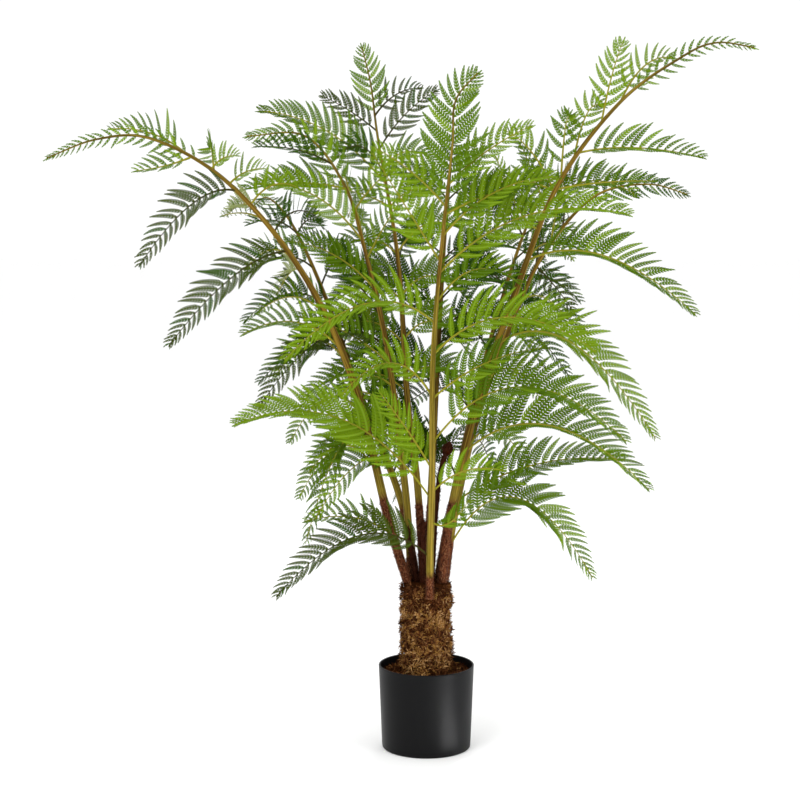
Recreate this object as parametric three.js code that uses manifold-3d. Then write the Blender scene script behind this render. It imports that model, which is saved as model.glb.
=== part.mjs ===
// Artificial tree fern in a plain nursery pot.
// Millimetres, +Z up. The origin is the middle of the pot's flat underside, and the plant's front is -Y.
//
// A pot holds a cast fill, the fill holds a coir-wrapped trunk, and nine fronds and three furled
// shoots stand on the trunk's top. A frond is one stalk in four lengths: a bare foot, then three
// lengths that carry the side branches. A side branch is a thin blade, cut in to its rib between
// the leaflets.
import * as THREE from 'three';
import { mergeVertices } from 'three/addons/utils/BufferGeometryUtils.js';
import Module from 'manifold-3d';

const wasm = await Module();
wasm.setup();

// Pot and fill
const POT_HEIGHT = 150;
const POT_RIM_RADIUS = 85;
const POT_BASE_RADIUS = 79;
const POT_WALL = 3;
const POT_SIDES = 40;
const POT_EDGE = 1.5;
const FILL_TOP = 136;
const GAP = 0.3;

// Trunk: a post wrapped in coir, cut flat at both ends
const TRUNK_TOP = 300;
const TRUNK_RADIUS = 45;
const TRUNK_SWELL = 1.5;
const TRUNK_SWELL_HEIGHT = 30;
const TRUNK_NARROWS = 45;
const TRUNK_SHOULDER = 15;
const TRUNK_TOP_RADIUS = 41;
const TRUNK_SIDES = 24;

// Stalks
const STALK_SIDES = 6;
const SHOOT_SIDES = 8;
const STALK_TIP_RADIUS = 1.0;
const STALK_TAPER = 1.3;
const STALK_SAMPLES = 160;
const SPAN_RINGS = 5;
const FOOT_RINGS = 3;
const END_OVERLAP = 0.02;
const CUT_BEFORE = 20;
const CUT_AFTER = 5;

// Furled shoots
const SHOOT_RINGS = 3;
const SHOOT_TAPER = 0.2;
const KNOB_LENGTH = 2.4;
const KNOB_RINGS = 6;
const KNOB_START = 0.16;
const KNOB_END = 0.95;

// Side branches
const RIB_RADIUS = 1.5;
const RIB_TIP_RADIUS = 0.45;
const RIB_SLIMNESS = 0.5;
const ARCH_PLACE = 0.42;
const LEAFLET_FORWARD = THREE.MathUtils.degToRad(32);
const LEAFLET_LIFT = THREE.MathUtils.degToRad(45);
const BLADE_LEAN = 1.4;
const BLADE_OUTWARD = 0.7;
const AWAY_OUTWARD = 0.5;
const LEAFLET_BASE_LENGTH = 30;
const LEAFLET_SHARE = 0.18;
const LEAFLET_TIP_LENGTH = 5;
const LEAFLET_ROOT_SHARE = 0.62;
const LEAFLET_FULL_AT = 0.22;
const BLADE_NARROWS = 0.55;
const NOTCH_CROWDING = 1.15;
const LEAFLET_SIZES = [1, 0.68, 0.42];
const LEAFLET_PITCH = 39;
const FEWEST_LEAFLETS = 4;
const MOST_LEAFLETS = 7;
const BARE_STEM = 0.1;
const END_RIB_SHARE = 0.8;
const LEAF_CLEARANCE = 0.5;
const RIB_CLEARANCE = 8;
const STALK_CLEARANCE = 11;
const SHOOT_CLEARANCE = 14;
const RIB_SAMPLES = 24;
const ROOT_SAMPLES = 2;
const LIFT_STEP = 14;
const SWING_STEP = 7;
const SEARCH_STEPS = 4;

// Ruled branches: how they are spread, raised, arched and shortened along a stalk
const ROW_OUTWARD = 0.5;
const ROW_SIDEWAYS = 0.8;
const ROW_LOW_RISE = -0.3;
const ROW_RISE_GAIN = 0.5;
const ROW_RISE_SPREAD = 0.3;
const ROW_LOW_ARCH = 0.3;
const ROW_ARCH_LOSS = 0.12;
const ROW_SHORTENING = 0.42;
const ROW_LENGTH_SPREAD = 0.2;

const UP = new THREE.Vector3(0, 0, 1);

// Each frond: its heading (degrees from +X towards +Y), the radius of its foot, the shares of its
// stalk's length where it is parted, and the way the blade at its end faces. `end` is [share of the
// length where that blade starts, length of its leaflets beside a side branch's]. `stalk` gives the
// points that the stalk runs through. A branch is [share of the length where it leaves, reach to the
// right, reach to the back, reach up, height of its arch]. `rows` gives the branches that follow a
// rule: [side, count, first share, last share, length].
const FRONDS = [
  {
    name: 'front', heading: 274, foot: 6.5,
    cuts: [0.055, 0.34, 0.62], face: [0, -1, 0.2], end: [0.77, 1.25],
    stalk: [[5, -50, 278], [5, -56, 356], [8, -75, 478], [8, -130, 698], [20, -200, 886],
      [35, -275, 1049], [39, -305, 1119], [72, -328, 1160]],
    branches: [
      [0.08, -265, -45, -60, 70], [0.19, -335, -30, 135, 80], [0.25, -90, -60, 140, 5],
      [0.39, -150, -70, 10, 55], [0.53, -245, -80, -55, 60], [0.647, -110, -20, 175, 0],
      [0.75, -115, 10, 95, 10], [0.15, 65, -40, 45, 20], [0.205, 120, -50, 45, 20],
      [0.3, 325, -50, 10, 95], [0.385, 190, -30, 90, 20], [0.47, 265, -70, 10, 60],
      [0.57, 140, 30, 30, 40], [0.61, 305, -40, 95, 50], [0.695, 175, -30, 95, 25],
      [0.79, 130, -20, 92, 10], [0.735, 190, 20, 60, 10],
    ],
    rows: [],
  },
  {
    name: 'left', heading: 188, foot: 8,
    cuts: [0.14, 0.36, 0.62], face: [0, -1, 0.4], end: [0.76, 0.45],
    stalk: [[-34, -8, 300.3], [-66, -15, 407], [-128, -40, 658], [-215, -60, 849], [-338, -80, 1000],
      [-461, -95, 1072], [-553, -100, 1072], [-639, -100, 1041]],
    branches: [
      [0.78, -145, 50, 45, 15], [0.77, -90, -35, -25, 10], [0.685, -150, -110, -125, 35],
      [0.565, -190, -110, -155, 30], [0.228, -115, -10, -170, 80], [0.08, -150, -60, 35, 20],
      [0.645, -60, 120, -10, 15], [0.53, -50, 130, -50, 15], [0.73, -20, 110, 40, 20],
      [0.735, 45, -20, 22, 8], [0.7, 62, -30, 25, 8], [0.655, 80, 30, 30, 20],
      [0.6, 70, 120, 25, 25], [0.39, -165, -50, 30, 35],
    ],
    rows: [[-1, 6, 0.18, 0.62, 240]],
  },
  {
    name: 'left_inner', heading: 158, foot: 7,
    cuts: [0.09, 0.36, 0.64], face: [0, -1, 0.6], end: [0.77, 0.9],
    stalk: [[-27, 14, 300.3], [-38, 27, 463], [-72, 60, 718], [-112, 90, 892], [-148, 110, 1003],
      [-219, 125, 1090], [-324, 130, 1090]],
    branches: [
      [0.81, -135, -40, 30, 25], [0.755, -195, 60, 0, 12], [0.65, -185, -60, 100, 35],
      [0.71, 75, -50, 75, 10], [0.615, 65, -60, 110, 5], [0.555, -155, 60, 85, 20],
      [0.5, -150, 90, 150, 20], [0.44, -220, -120, -95, 70], [0.41, -155, -100, 90, 15],
    ],
    rows: [[1, 4, 0.2, 0.36, 200], [-1, 6, 0.28, 0.74, 230]],
  },
  {
    name: 'back_tall', heading: 102, foot: 7,
    cuts: [0.14, 0.42, 0.68], face: [0, 1, 0.2], end: [0.87, 1.1],
    stalk: [[-5, 15, 300.3], [-16, 45, 466], [-34, 90, 618], [-51, 170, 868], [-88, 240, 1089],
      [-102, 270, 1193], [-119, 285, 1265]],
    branches: [
      [0.835, -105, 60, 70, 5], [0.865, 85, 40, 55, 15], [0.8, 105, -20, 105, 15],
      [0.73, -235, 0, 135, 35], [0.745, -90, -60, 30, 40], [0.58, 25, 120, 75, 5],
    ],
    rows: [[1, 6, 0.25, 0.68, 190], [-1, 6, 0.35, 0.76, 230]],
  },
  {
    name: 'right', heading: 352, foot: 8,
    cuts: [0.13, 0.36, 0.62], face: [0, -1, 0.4], end: [0.81, 0.45],
    stalk: [[27, -14, 300.3], [42, -24, 428], [85, -45, 615], [154, -70, 826], [220, -95, 999],
      [319, -115, 1132], [417, -130, 1204], [473, -136, 1227], [535, -140, 1219]],
    branches: [
      [0.745, 35, 5, 133, 0], [0.785, 90, 30, 75, 12], [0.69, 200, -60, -10, 12], [0.645, 12, 0, 105, 0],
      [0.68, 45, 0, 88, 5], [0.628, 170, 20, 15, 5], [0.515, 285, -20, -90, 50],
      [0.38, 275, -10, -160, 80], [0.207, 320, -30, -60, 78], [0.57, -120, -110, 40, 20],
      [0.62, -110, 30, 12, 12], [0.565, -75, -50, 120, 5], [0.61, -80, 50, 105, 5],
      [0.595, -40, 60, 115, 5], [0.6, 160, 60, 20, 35],
    ],
    rows: [[1, 5, 0.2, 0.62, 190]],
  },
  {
    name: 'right_inner', heading: 22, foot: 7,
    cuts: [0.04, 0.36, 0.62], face: [0, -1, 0.6], end: [0.8, 0.9],
    stalk: [[33, 10, 300.3], [50, 24, 413], [95, 60, 597], [176, 110, 804], [232, 140, 903],
      [314, 165, 985], [410, 180, 1005], [484, 190, 987]],
    branches: [
      [0.06, 255, -20, -50, 115], [0.15, 290, -40, 80, 30], [0.61, 70, 40, -80, 5],
      [0.68, 20, -70, 120, 10],
    ],
    rows: [[1, 6, 0.2, 0.72, 240]],
  },
  {
    name: 'rear_left', heading: 128, foot: 7,
    cuts: [0.14, 0.4, 0.66], face: [-0.4, 0.6, 0.5], end: [0.82, 0.9],
    stalk: [[-18, 29, 300.3], [-48, 78, 440], [-120, 140, 620], [-190, 240, 800], [-255, 340, 930],
      [-310, 430, 985], [-350, 500, 965]],
    branches: [],
    rows: [[1, 4, 0.46, 0.76, 170], [-1, 5, 0.2, 0.76, 250]],
  },
  {
    name: 'rear', heading: 84, foot: 7,
    cuts: [0.14, 0.4, 0.66], face: [0, 0.8, 0.5], end: [0.82, 0.9],
    stalk: [[2, 34, 300.3], [10, 92, 460], [22, 180, 670], [36, 290, 870], [50, 390, 1015],
      [58, 470, 1095], [64, 545, 1120]],
    branches: [
      [0.62, 70, -60, 30, 15], [0.2, -70, 50, 40, 15], [0.24, 60, 60, 30, 15],
      [0.36, -75, -60, 20, 15], [0.44, 60, -60, 10, 15], [0.5, -70, -60, 20, 12],
    ],
    rows: [[1, 5, 0.24, 0.76, 290], [-1, 5, 0.46, 0.76, 240]],
  },
  {
    name: 'rear_right', heading: 60, foot: 7,
    cuts: [0.14, 0.4, 0.66], face: [0.4, 0.6, 0.5], end: [0.82, 0.9],
    stalk: [[21, 27, 300.3], [50, 80, 440], [95, 160, 620], [150, 260, 800], [200, 350, 930],
      [245, 430, 1005], [280, 495, 1015]],
    branches: [],
    rows: [[1, 5, 0.2, 0.76, 260], [-1, 5, 0.5, 0.76, 180]],
  },
];

// Furled shoots: the points their stems run through, the stem's radius and the knob's radius.
const SHOOTS = [
  {
    name: 'shoot_tall', radius: 5, knob: 10,
    stem: [[9, 3, 300.3], [17, 7, 430], [26, 10, 500], [42, 10, 548]],
  },
  {
    name: 'shoot_small', radius: 4.5, knob: 7,
    stem: [[-17, -3, 300.3], [-25, -2, 345], [-36, 1, 398]],
  },
  {
    name: 'shoot_short', radius: 6, knob: 7,
    stem: [[-6, -14, 300.3], [-8, -16, 360], [-6, -17, 412]],
  },
];

const potMaterial = new THREE.MeshStandardMaterial({ color: 0x26282a, roughness: 0.45, metalness: 0 });
const fillMaterial = new THREE.MeshStandardMaterial({ color: 0x3b2a1a, roughness: 1, metalness: 0 });
const coirMaterial = new THREE.MeshStandardMaterial({ color: 0x6b4a28, roughness: 1, metalness: 0 });
const footMaterial = new THREE.MeshStandardMaterial({ color: 0x6a3d26, roughness: 0.9, metalness: 0 });
const shootMaterial = new THREE.MeshStandardMaterial({ color: 0x3c1f18, roughness: 0.9, metalness: 0 });
const leafMaterial = new THREE.MeshStandardMaterial({ color: 0x4f8a22, roughness: 0.6, metalness: 0 });

// Closed geometry from points and triangles.
function solidGeometry(points, triangles) {
  const geometry = new THREE.BufferGeometry();
  const numbers = points.flatMap((p) => [p.x, p.y, p.z]);
  geometry.setAttribute('position', new THREE.Float32BufferAttribute(numbers, 3));
  geometry.setIndex(triangles.flat());
  return geometry;
}

function toManifold(geometry) {
  const merged = geometry.clone();
  merged.deleteAttribute('normal');
  merged.deleteAttribute('uv');
  const closed = mergeVertices(merged, 1e-4);
  return new wasm.Manifold(new wasm.Mesh({
    numProp: 3,
    vertProperties: Float32Array.from(closed.attributes.position.array),
    triVerts: Uint32Array.from(closed.index.array),
  }));
}

function toGeometry(manifold) {
  const mesh = manifold.getMesh();
  const geometry = new THREE.BufferGeometry();
  geometry.setAttribute('position', new THREE.BufferAttribute(mesh.vertProperties, 3));
  geometry.setIndex(new THREE.BufferAttribute(mesh.triVerts, 1));
  geometry.computeVertexNormals();
  return geometry;
}

// Profile of [radius, height] points turned about the Z axis.
function turned(profile, sides) {
  const geometry = new THREE.LatheGeometry(profile.map(([r, z]) => new THREE.Vector2(r, z)), sides);
  geometry.rotateX(Math.PI / 2);
  return geometry;
}

// A line of points evenly spaced along a smooth curve, read by share of its length.
function makeLine(curvePoints) {
  const curve = new THREE.CatmullRomCurve3(curvePoints, false, 'catmullrom', 0.5);
  const points = curve.getPoints(STALK_SAMPLES);
  const lengths = [0];
  for (let i = 1; i < points.length; i += 1) {
    lengths.push(lengths[i - 1] + points[i].distanceTo(points[i - 1]));
  }
  return { points, lengths, length: lengths[lengths.length - 1] };
}

function pointAt(line, share) {
  const wanted = THREE.MathUtils.clamp(share, 0, 1) * line.length;
  let i = 1;
  while (i < line.lengths.length - 1 && line.lengths[i] < wanted) i += 1;
  const part = (wanted - line.lengths[i - 1]) / (line.lengths[i] - line.lengths[i - 1]);
  return line.points[i - 1].clone().lerp(line.points[i], part);
}

function directionAt(line, share) {
  const step = 0.01;
  return pointAt(line, share + step).sub(pointAt(line, share - step)).normalize();
}

function stalkRadius(frond, share) {
  return STALK_TIP_RADIUS + (frond.foot - STALK_TIP_RADIUS) * (1 - share ** STALK_TAPER);
}

// Round tube along a line, with a ring of the given radius at each of the given shares. Each ring
// lies square to the line, and the first one is level where `levelStart` is set.
function tubeGeometry(line, shares, radii, sides, levelStart = false) {
  const points = [];
  const triangles = [];
  const centres = shares.map((share) => pointAt(line, share));
  let across = new THREE.Vector3(1, 0, 0);
  centres.forEach((centre, i) => {
    const along = i === 0 && levelStart ? UP.clone() : directionAt(line, shares[i]);
    across = across.clone().addScaledVector(along, -across.dot(along)).normalize();
    const other = along.clone().cross(across);
    for (let k = 0; k < sides; k += 1) {
      const angle = (2 * Math.PI * k) / sides;
      points.push(centre.clone()
        .addScaledVector(across, radii[i] * Math.cos(angle))
        .addScaledVector(other, radii[i] * Math.sin(angle)));
    }
  });
  const last = centres.length - 1;
  points.push(centres[0].clone(), centres[last].clone());
  const startCentre = points.length - 2;
  const endCentre = points.length - 1;
  for (let k = 0; k < sides; k += 1) {
    const next = (k + 1) % sides;
    for (let i = 0; i < last; i += 1) {
      const a = i * sides + k;
      const b = i * sides + next;
      triangles.push([a, b, b + sides], [a, b + sides, a + sides]);
    }
    triangles.push([startCentre, next, k], [endCentre, last * sides + k, last * sides + next]);
  }
  return solidGeometry(points, triangles);
}

// The middle line of a side branch: a simple arch from its root on the stalk to its tip.
function branchPoint(branch, u) {
  const lift = 2 * branch.arch;
  const middle = branch.reach.clone().multiplyScalar(ARCH_PLACE).addScaledVector(UP, lift);
  return branch.root.clone()
    .addScaledVector(middle, 2 * u * (1 - u))
    .addScaledVector(branch.reach, u * u);
}

function branchDirection(branch, u) {
  const step = 0.02;
  const ahead = branchPoint(branch, Math.min(u + step, 1));
  return ahead.sub(branchPoint(branch, Math.max(u - step, 0))).normalize();
}

function sampled(pointOf, count) {
  return Array.from({ length: count + 1 }, (_, i) => pointOf(i / count));
}

// Shortest distance from any point of one row of points to the segments between another's.
function lineGap(points, others) {
  let best = Infinity;
  const segment = new THREE.Line3();
  const nearest = new THREE.Vector3();
  for (let i = 1; i < others.length; i += 1) {
    segment.set(others[i - 1], others[i]);
    for (const point of points) {
      segment.closestPointToPoint(point, true, nearest);
      best = Math.min(best, nearest.distanceTo(point));
    }
  }
  return best;
}

function outward(frond) {
  const angle = THREE.MathUtils.degToRad(frond.heading);
  return new THREE.Vector3(Math.cos(angle), Math.sin(angle), 0);
}

function sideways(frond) {
  return UP.clone().cross(outward(frond));
}

// A repeatable number from 0 to 1 for a frond and a branch, from the digits of a large sine.
function scatter(a, b) {
  const value = Math.sin(a * 12.9898 + b * 78.233) * 43758.5453;
  return value - Math.floor(value);
}

// Branches that follow the rule: they leave in a row on one side, reach out and sideways, rise less
// low on the stalk than high on it, and shorten towards the stalk's end.
function ruledBranches(frond, index) {
  const found = [];
  frond.rows.forEach(([side, count, first, last, longest], row) => {
    for (let k = 0; k < count; k += 1) {
      const part = k / (count - 1);
      const chance = scatter(index + 1, 7 * row + k + 1) - 0.5;
      const share = first + (last - first) * part;
      const length = longest * (1 - ROW_SHORTENING * part * part) * (1 + ROW_LENGTH_SPREAD * chance);
      const reach = outward(frond).multiplyScalar(ROW_OUTWARD)
        .addScaledVector(sideways(frond), side * ROW_SIDEWAYS)
        .addScaledVector(UP, ROW_LOW_RISE + ROW_RISE_GAIN * part + ROW_RISE_SPREAD * chance)
        .normalize()
        .multiplyScalar(length);
      found.push({ share, reach, arch: length * (ROW_LOW_ARCH - ROW_ARCH_LOSS * part) });
    }
  });
  return found;
}

function givenBranches(frond) {
  return frond.branches.map(([share, right, back, up, arch]) => ({
    share, reach: new THREE.Vector3(right, back, up), arch,
  }));
}

// Turns and lifts tried in order, the smallest first, until a branch is clear of the others.
function searchMoves() {
  const moves = [];
  for (let lift = -SEARCH_STEPS; lift <= SEARCH_STEPS; lift += 1) {
    for (let swing = -SEARCH_STEPS; swing <= SEARCH_STEPS; swing += 1) {
      const size = Math.abs(lift) + Math.abs(swing);
      moves.push({ lift: lift * LIFT_STEP, swing: swing * SWING_STEP, size });
    }
  }
  return moves.sort((a, b) => a.size - b.size || a.lift - b.lift || a.swing - b.swing);
}

// A branch that would leave close to a place where its stalk is parted leaves just past it instead.
function clearOfCuts(frond, share) {
  const { length } = frond.line;
  const near = frond.cuts.find((cut) => share * length > cut * length - CUT_BEFORE
    && share * length < cut * length + CUT_AFTER);
  return near === undefined ? share : near + CUT_AFTER / length;
}

// Whether a branch's line keeps its distance from every stalk, shoot and branch placed so far. The
// points nearest its own stalk don't count.
function isClear(branch, points, stalks, shoots, placed) {
  const free = points.slice(ROOT_SAMPLES);
  const pastRoot = free.slice(ROOT_SAMPLES);
  return stalks.every((line, i) => lineGap(i === branch.index ? pastRoot : free, line) > STALK_CLEARANCE)
    && shoots.every((line) => lineGap(free, line) > SHOOT_CLEARANCE)
    && placed.every((other) => {
      const line = other.index === branch.index ? other.points.slice(ROOT_SAMPLES) : other.points;
      return lineGap(free, line) > RIB_CLEARANCE;
    });
}

// Every branch of every frond, the written ones first. Each takes the smallest lift and swing that
// clears what was placed before it, and one that nothing clears is skipped.
function placeBranches() {
  const stalks = FRONDS.map((frond) => sampled((u) => pointAt(frond.line, u), RIB_SAMPLES));
  const shoots = SHOOTS.map((shoot) => sampled((u) => pointAt(shoot.line, u), RIB_SAMPLES / 2));
  const wantedBranches = [givenBranches, ruledBranches].flatMap((rule) => (
    FRONDS.flatMap((frond, index) => rule(frond, index).map((branch) => ({ ...branch, frond, index })))
  ));
  const moves = searchMoves();
  const placed = [];
  for (const wanted of wantedBranches) {
    const share = clearOfCuts(wanted.frond, wanted.share);
    const root = pointAt(wanted.frond.line, share);
    for (const move of moves) {
      const reach = wanted.reach.clone().applyAxisAngle(UP, THREE.MathUtils.degToRad(move.swing));
      const branch = { ...wanted, share, root, reach, arch: wanted.arch + move.lift };
      branch.points = sampled((u) => branchPoint(branch, u), RIB_SAMPLES);
      if (isClear(branch, branch.points, stalks, shoots, placed)) {
        placed.push(branch);
        break;
      }
    }
  }
  return placed;
}

// A blade's frame at a place on its rib: along, across to the left, and the way it faces.
function bladeFrame(blade, u) {
  const along = blade.directionOf(u);
  const face = blade.face.clone().addScaledVector(along, -blade.face.dot(along)).normalize();
  return { centre: blade.pointOf(u), along, face, left: face.clone().cross(along) };
}

function leafletLength(blade, v) {
  const swell = THREE.MathUtils.smoothstep(v, 0, LEAFLET_FULL_AT);
  const widest = LEAFLET_ROOT_SHARE + (1 - LEAFLET_ROOT_SHARE) * swell;
  const longest = (LEAFLET_BASE_LENGTH + LEAFLET_SHARE * blade.length) * blade.scale;
  return longest * widest * (1 - v) ** BLADE_NARROWS + LEAFLET_TIP_LENGTH;
}

// The stations along a blade: one at the foot of the bare stem, then one at each notch between leaflets.
function bladeStations(blade) {
  const leafy = blade.length * (1 - blade.bare);
  const count = THREE.MathUtils.clamp(Math.round(leafy / LEAFLET_PITCH), FEWEST_LEAFLETS, MOST_LEAFLETS);
  const stem = blade.bare > 0 ? [0] : [];
  const notches = Array.from({ length: count + 1 }, (_, k) => {
    const v = 1 - (1 - k / count) ** NOTCH_CROWDING;
    return blade.bare + (1 - blade.bare) * v;
  });
  return { stations: [...stem, ...notches], firstLeaflet: stem.length };
}

function ribRadius(blade, u) {
  return blade.ribRadius + (RIB_TIP_RADIUS - blade.ribRadius) * u;
}

// A leaflet's tip. It leans forward, and it is raised from the blade's plane, most where its rib
// lies level.
function leafletTip(blade, u, side, size) {
  const v = (u - blade.bare) / (1 - blade.bare);
  const { centre, along, face, left } = bladeFrame(blade, u);
  const length = size * leafletLength(blade, v);
  const lift = blade.lift * (1 - along.z * along.z);
  return centre
    .addScaledVector(left, side * length * Math.cos(LEAFLET_FORWARD) * Math.cos(lift))
    .addScaledVector(face, length * Math.cos(LEAFLET_FORWARD) * Math.sin(lift))
    .addScaledVector(along, length * Math.sin(LEAFLET_FORWARD));
}

// The four points of the rib's diamond section: top, left, bottom, right. It is taller than it is wide,
// so that the raised leaflets stay clear of its sides.
function ribSection(blade, u) {
  const { centre, face, left } = bladeFrame(blade, u);
  const r = ribRadius(blade, u);
  return [
    centre.clone().addScaledVector(face, r),
    centre.clone().addScaledVector(left, r * RIB_SLIMNESS),
    centre.clone().addScaledVector(face, -r),
    centre.clone().addScaledVector(left, -r * RIB_SLIMNESS),
  ];
}

// One leaflet alone: its foot on the rib between two stations, and its tip.
function leafletSolid(blade, from, to, side, size) {
  const [topA, leftA, bottomA, rightA] = ribSection(blade, from);
  const [topB, leftB, bottomB, rightB] = ribSection(blade, to);
  const [sideA, sideB] = side > 0 ? [leftA, leftB] : [rightA, rightB];
  const tip = leafletTip(blade, (from + to) / 2, side, size);
  const points = [topA, sideA, bottomA, topB, sideB, bottomB, tip];
  const triangles = [[0, 3, 6], [3, 4, 6], [0, 6, 1], [2, 6, 5], [5, 6, 4], [2, 1, 6],
    [0, 1, 2], [3, 5, 4], [0, 2, 5], [0, 5, 3]];
  const turnedRound = side > 0 ? triangles : triangles.map(([a, b, c]) => [a, c, b]);
  return toManifold(solidGeometry(points, turnedRound));
}

// The whole blade as one closed solid. `sizes` holds each leaflet's size, 0 where it is left out.
function bladeSolid(blade, sizes) {
  const { stations, firstLeaflet } = bladeStations(blade);
  const points = stations.flatMap((u) => ribSection(blade, u));
  const triangles = [];
  const last = stations.length - 1;
  for (let i = 0; i < last; i += 1) {
    for (const side of [1, -1]) {
      const top = [4 * i, 4 * i + 4];
      const bottom = [4 * i + 2, 4 * i + 6];
      const edge = side > 0 ? [4 * i + 1, 4 * i + 5] : [4 * i + 3, 4 * i + 7];
      const size = i < firstLeaflet ? 0 : sizes[i - firstLeaflet][side];
      const faces = [];
      if (size > 0) {
        const tip = points.length;
        points.push(leafletTip(blade, (stations[i] + stations[i + 1]) / 2, side, size));
        faces.push([top[0], top[1], tip], [top[1], edge[1], tip], [top[0], tip, edge[0]]);
        faces.push([bottom[0], tip, bottom[1]], [bottom[1], tip, edge[1]], [bottom[0], edge[0], tip]);
      } else {
        faces.push([top[0], top[1], edge[1]], [top[0], edge[1], edge[0]]);
        faces.push([bottom[0], edge[1], bottom[1]], [bottom[0], edge[0], edge[1]]);
      }
      triangles.push(...(side > 0 ? faces : faces.map(([a, b, c]) => [a, c, b])));
    }
  }
  const end = 4 * last;
  triangles.push([0, 1, 2], [0, 2, 3], [end, end + 2, end + 1], [end, end + 3, end + 2]);
  return toManifold(solidGeometry(points, triangles));
}

function boxesNear(a, b, gap) {
  return [0, 1, 2].every((i) => a.min[i] - gap < b.max[i] && b.min[i] - gap < a.max[i]);
}

// The largest size at which a leaflet is clear of everything in `others`, or 0 where none is.
function clearSize(blade, from, to, side, others) {
  for (const size of LEAFLET_SIZES) {
    const leaflet = leafletSolid(blade, from, to, side, size);
    const box = leaflet.boundingBox();
    const touches = others.some((other) => other.node !== blade.node
      && other.blade !== blade
      && boxesNear(box, other.box, LEAF_CLEARANCE)
      && leaflet.minGap(other.solid, LEAF_CLEARANCE) < LEAF_CLEARANCE);
    leaflet.delete();
    if (!touches) return size;
  }
  return 0;
}

function spanOf(frond, share) {
  return frond.cuts.filter((cut) => share > cut).length;
}

const SPAN_NAMES = ['foot', 'lower', 'middle', 'upper'];

function nodeName(frond, span) {
  return `frond_${frond.name}_${SPAN_NAMES[span]}`;
}

// The stalk's length within one span, as a tube. Its ends stand GAP apart from the next spans' ends.
function spanTube(frond, span) {
  const ends = [0, ...frond.cuts, frond.end[0] + END_OVERLAP];
  const half = GAP / 2 / frond.line.length;
  const from = span === 0 ? 0 : ends[span] + half;
  const to = span === 3 ? ends[4] : ends[span + 1] - half;
  const shares = sampled((u) => from + (to - from) * u, span === 0 ? FOOT_RINGS : SPAN_RINGS);
  const radii = shares.map((share) => stalkRadius(frond, share));
  return toManifold(tubeGeometry(frond.line, shares, radii, STALK_SIDES, span === 0));
}

// The blade of a side branch. Its two rows of leaflets rise from the rib as a V that opens upward and
// outward, leaning away from the stalk.
function branchBlade(branch) {
  const { frond } = branch;
  const side = Math.sign(branch.reach.dot(sideways(frond))) || 1;
  const away = sideways(frond).multiplyScalar(side).addScaledVector(outward(frond), AWAY_OUTWARD);
  const lean = branch.reach.clone().cross(UP).normalize();
  if (lean.dot(away) < 0) lean.negate();
  const level = branch.reach.clone().setZ(0).normalize();
  const face = UP.clone().addScaledVector(level, BLADE_OUTWARD).addScaledVector(lean, BLADE_LEAN);
  return {
    node: nodeName(frond, spanOf(frond, branch.share)),
    pointOf: (u) => branchPoint(branch, u),
    directionOf: (u) => branchDirection(branch, u),
    length: makeLine(branch.points).length,
    bare: BARE_STEM,
    face,
    lift: LEAFLET_LIFT,
    scale: 1,
    ribRadius: RIB_RADIUS,
  };
}

// The blade at the end of a stalk.
function endBlade(frond) {
  const from = frond.end[0];
  const shareOf = (u) => from + (1 - from) * u;
  return {
    node: nodeName(frond, 3),
    pointOf: (u) => pointAt(frond.line, shareOf(u)),
    directionOf: (u) => directionAt(frond.line, shareOf(u)),
    length: frond.line.length * (1 - from),
    bare: 0,
    face: new THREE.Vector3(...frond.face),
    lift: 0,
    scale: frond.end[1],
    ribRadius: stalkRadius(frond, from) * END_RIB_SHARE,
  };
}

function makePot() {
  const inner = (z) => POT_BASE_RADIUS - POT_WALL + ((POT_RIM_RADIUS - POT_BASE_RADIUS) * z) / POT_HEIGHT;
  return turned([
    [0, 0], [POT_BASE_RADIUS - POT_EDGE, 0], [POT_BASE_RADIUS, POT_EDGE], [POT_RIM_RADIUS, POT_HEIGHT],
    [inner(POT_HEIGHT), POT_HEIGHT], [inner(POT_WALL), POT_WALL], [0, POT_WALL],
  ], POT_SIDES);
}

function makeFill() {
  const radius = (z) => POT_BASE_RADIUS - POT_WALL - 2 * GAP
    + ((POT_RIM_RADIUS - POT_BASE_RADIUS) * z) / POT_HEIGHT;
  const bottom = POT_WALL + GAP;
  return turned([
    [0, bottom], [radius(bottom), bottom], [radius(FILL_TOP), FILL_TOP], [0, FILL_TOP],
  ], POT_SIDES);
}

function makeTrunk() {
  const foot = FILL_TOP + GAP;
  return turned([
    [0, foot],
    [TRUNK_RADIUS, foot],
    [TRUNK_RADIUS + TRUNK_SWELL, foot + TRUNK_SWELL_HEIGHT],
    [TRUNK_RADIUS, TRUNK_TOP - TRUNK_NARROWS],
    [TRUNK_RADIUS - 1, TRUNK_TOP - TRUNK_SHOULDER],
    [TRUNK_TOP_RADIUS, TRUNK_TOP],
    [0, TRUNK_TOP],
  ], TRUNK_SIDES);
}

// A stem that narrows a little and ends in a rounded knob, the furled tip of a new frond.
function makeShoot(shoot) {
  const knobFrom = 1 - (KNOB_LENGTH * shoot.knob) / shoot.line.length;
  const stem = sampled((u) => knobFrom * u, SHOOT_RINGS).slice(0, -1);
  const knob = sampled((u) => knobFrom + (1 - knobFrom) * u, KNOB_RINGS);
  const knobRadius = (u) => {
    const place = KNOB_START + (KNOB_END - KNOB_START) * u;
    return shoot.knob * Math.sin(Math.PI * place);
  };
  const radii = [
    ...stem.map((share) => shoot.radius * (1 - SHOOT_TAPER * share)),
    ...sampled(knobRadius, KNOB_RINGS),
  ];
  return tubeGeometry(shoot.line, [...stem, ...knob], radii, SHOOT_SIDES, true);
}

const toVectors = (rows) => rows.map(([x, y, z]) => new THREE.Vector3(x, y, z));
FRONDS.forEach((frond) => { frond.line = makeLine(toVectors(frond.stalk)); });
SHOOTS.forEach((shoot) => { shoot.line = makeLine(toVectors(shoot.stem)); });

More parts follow.
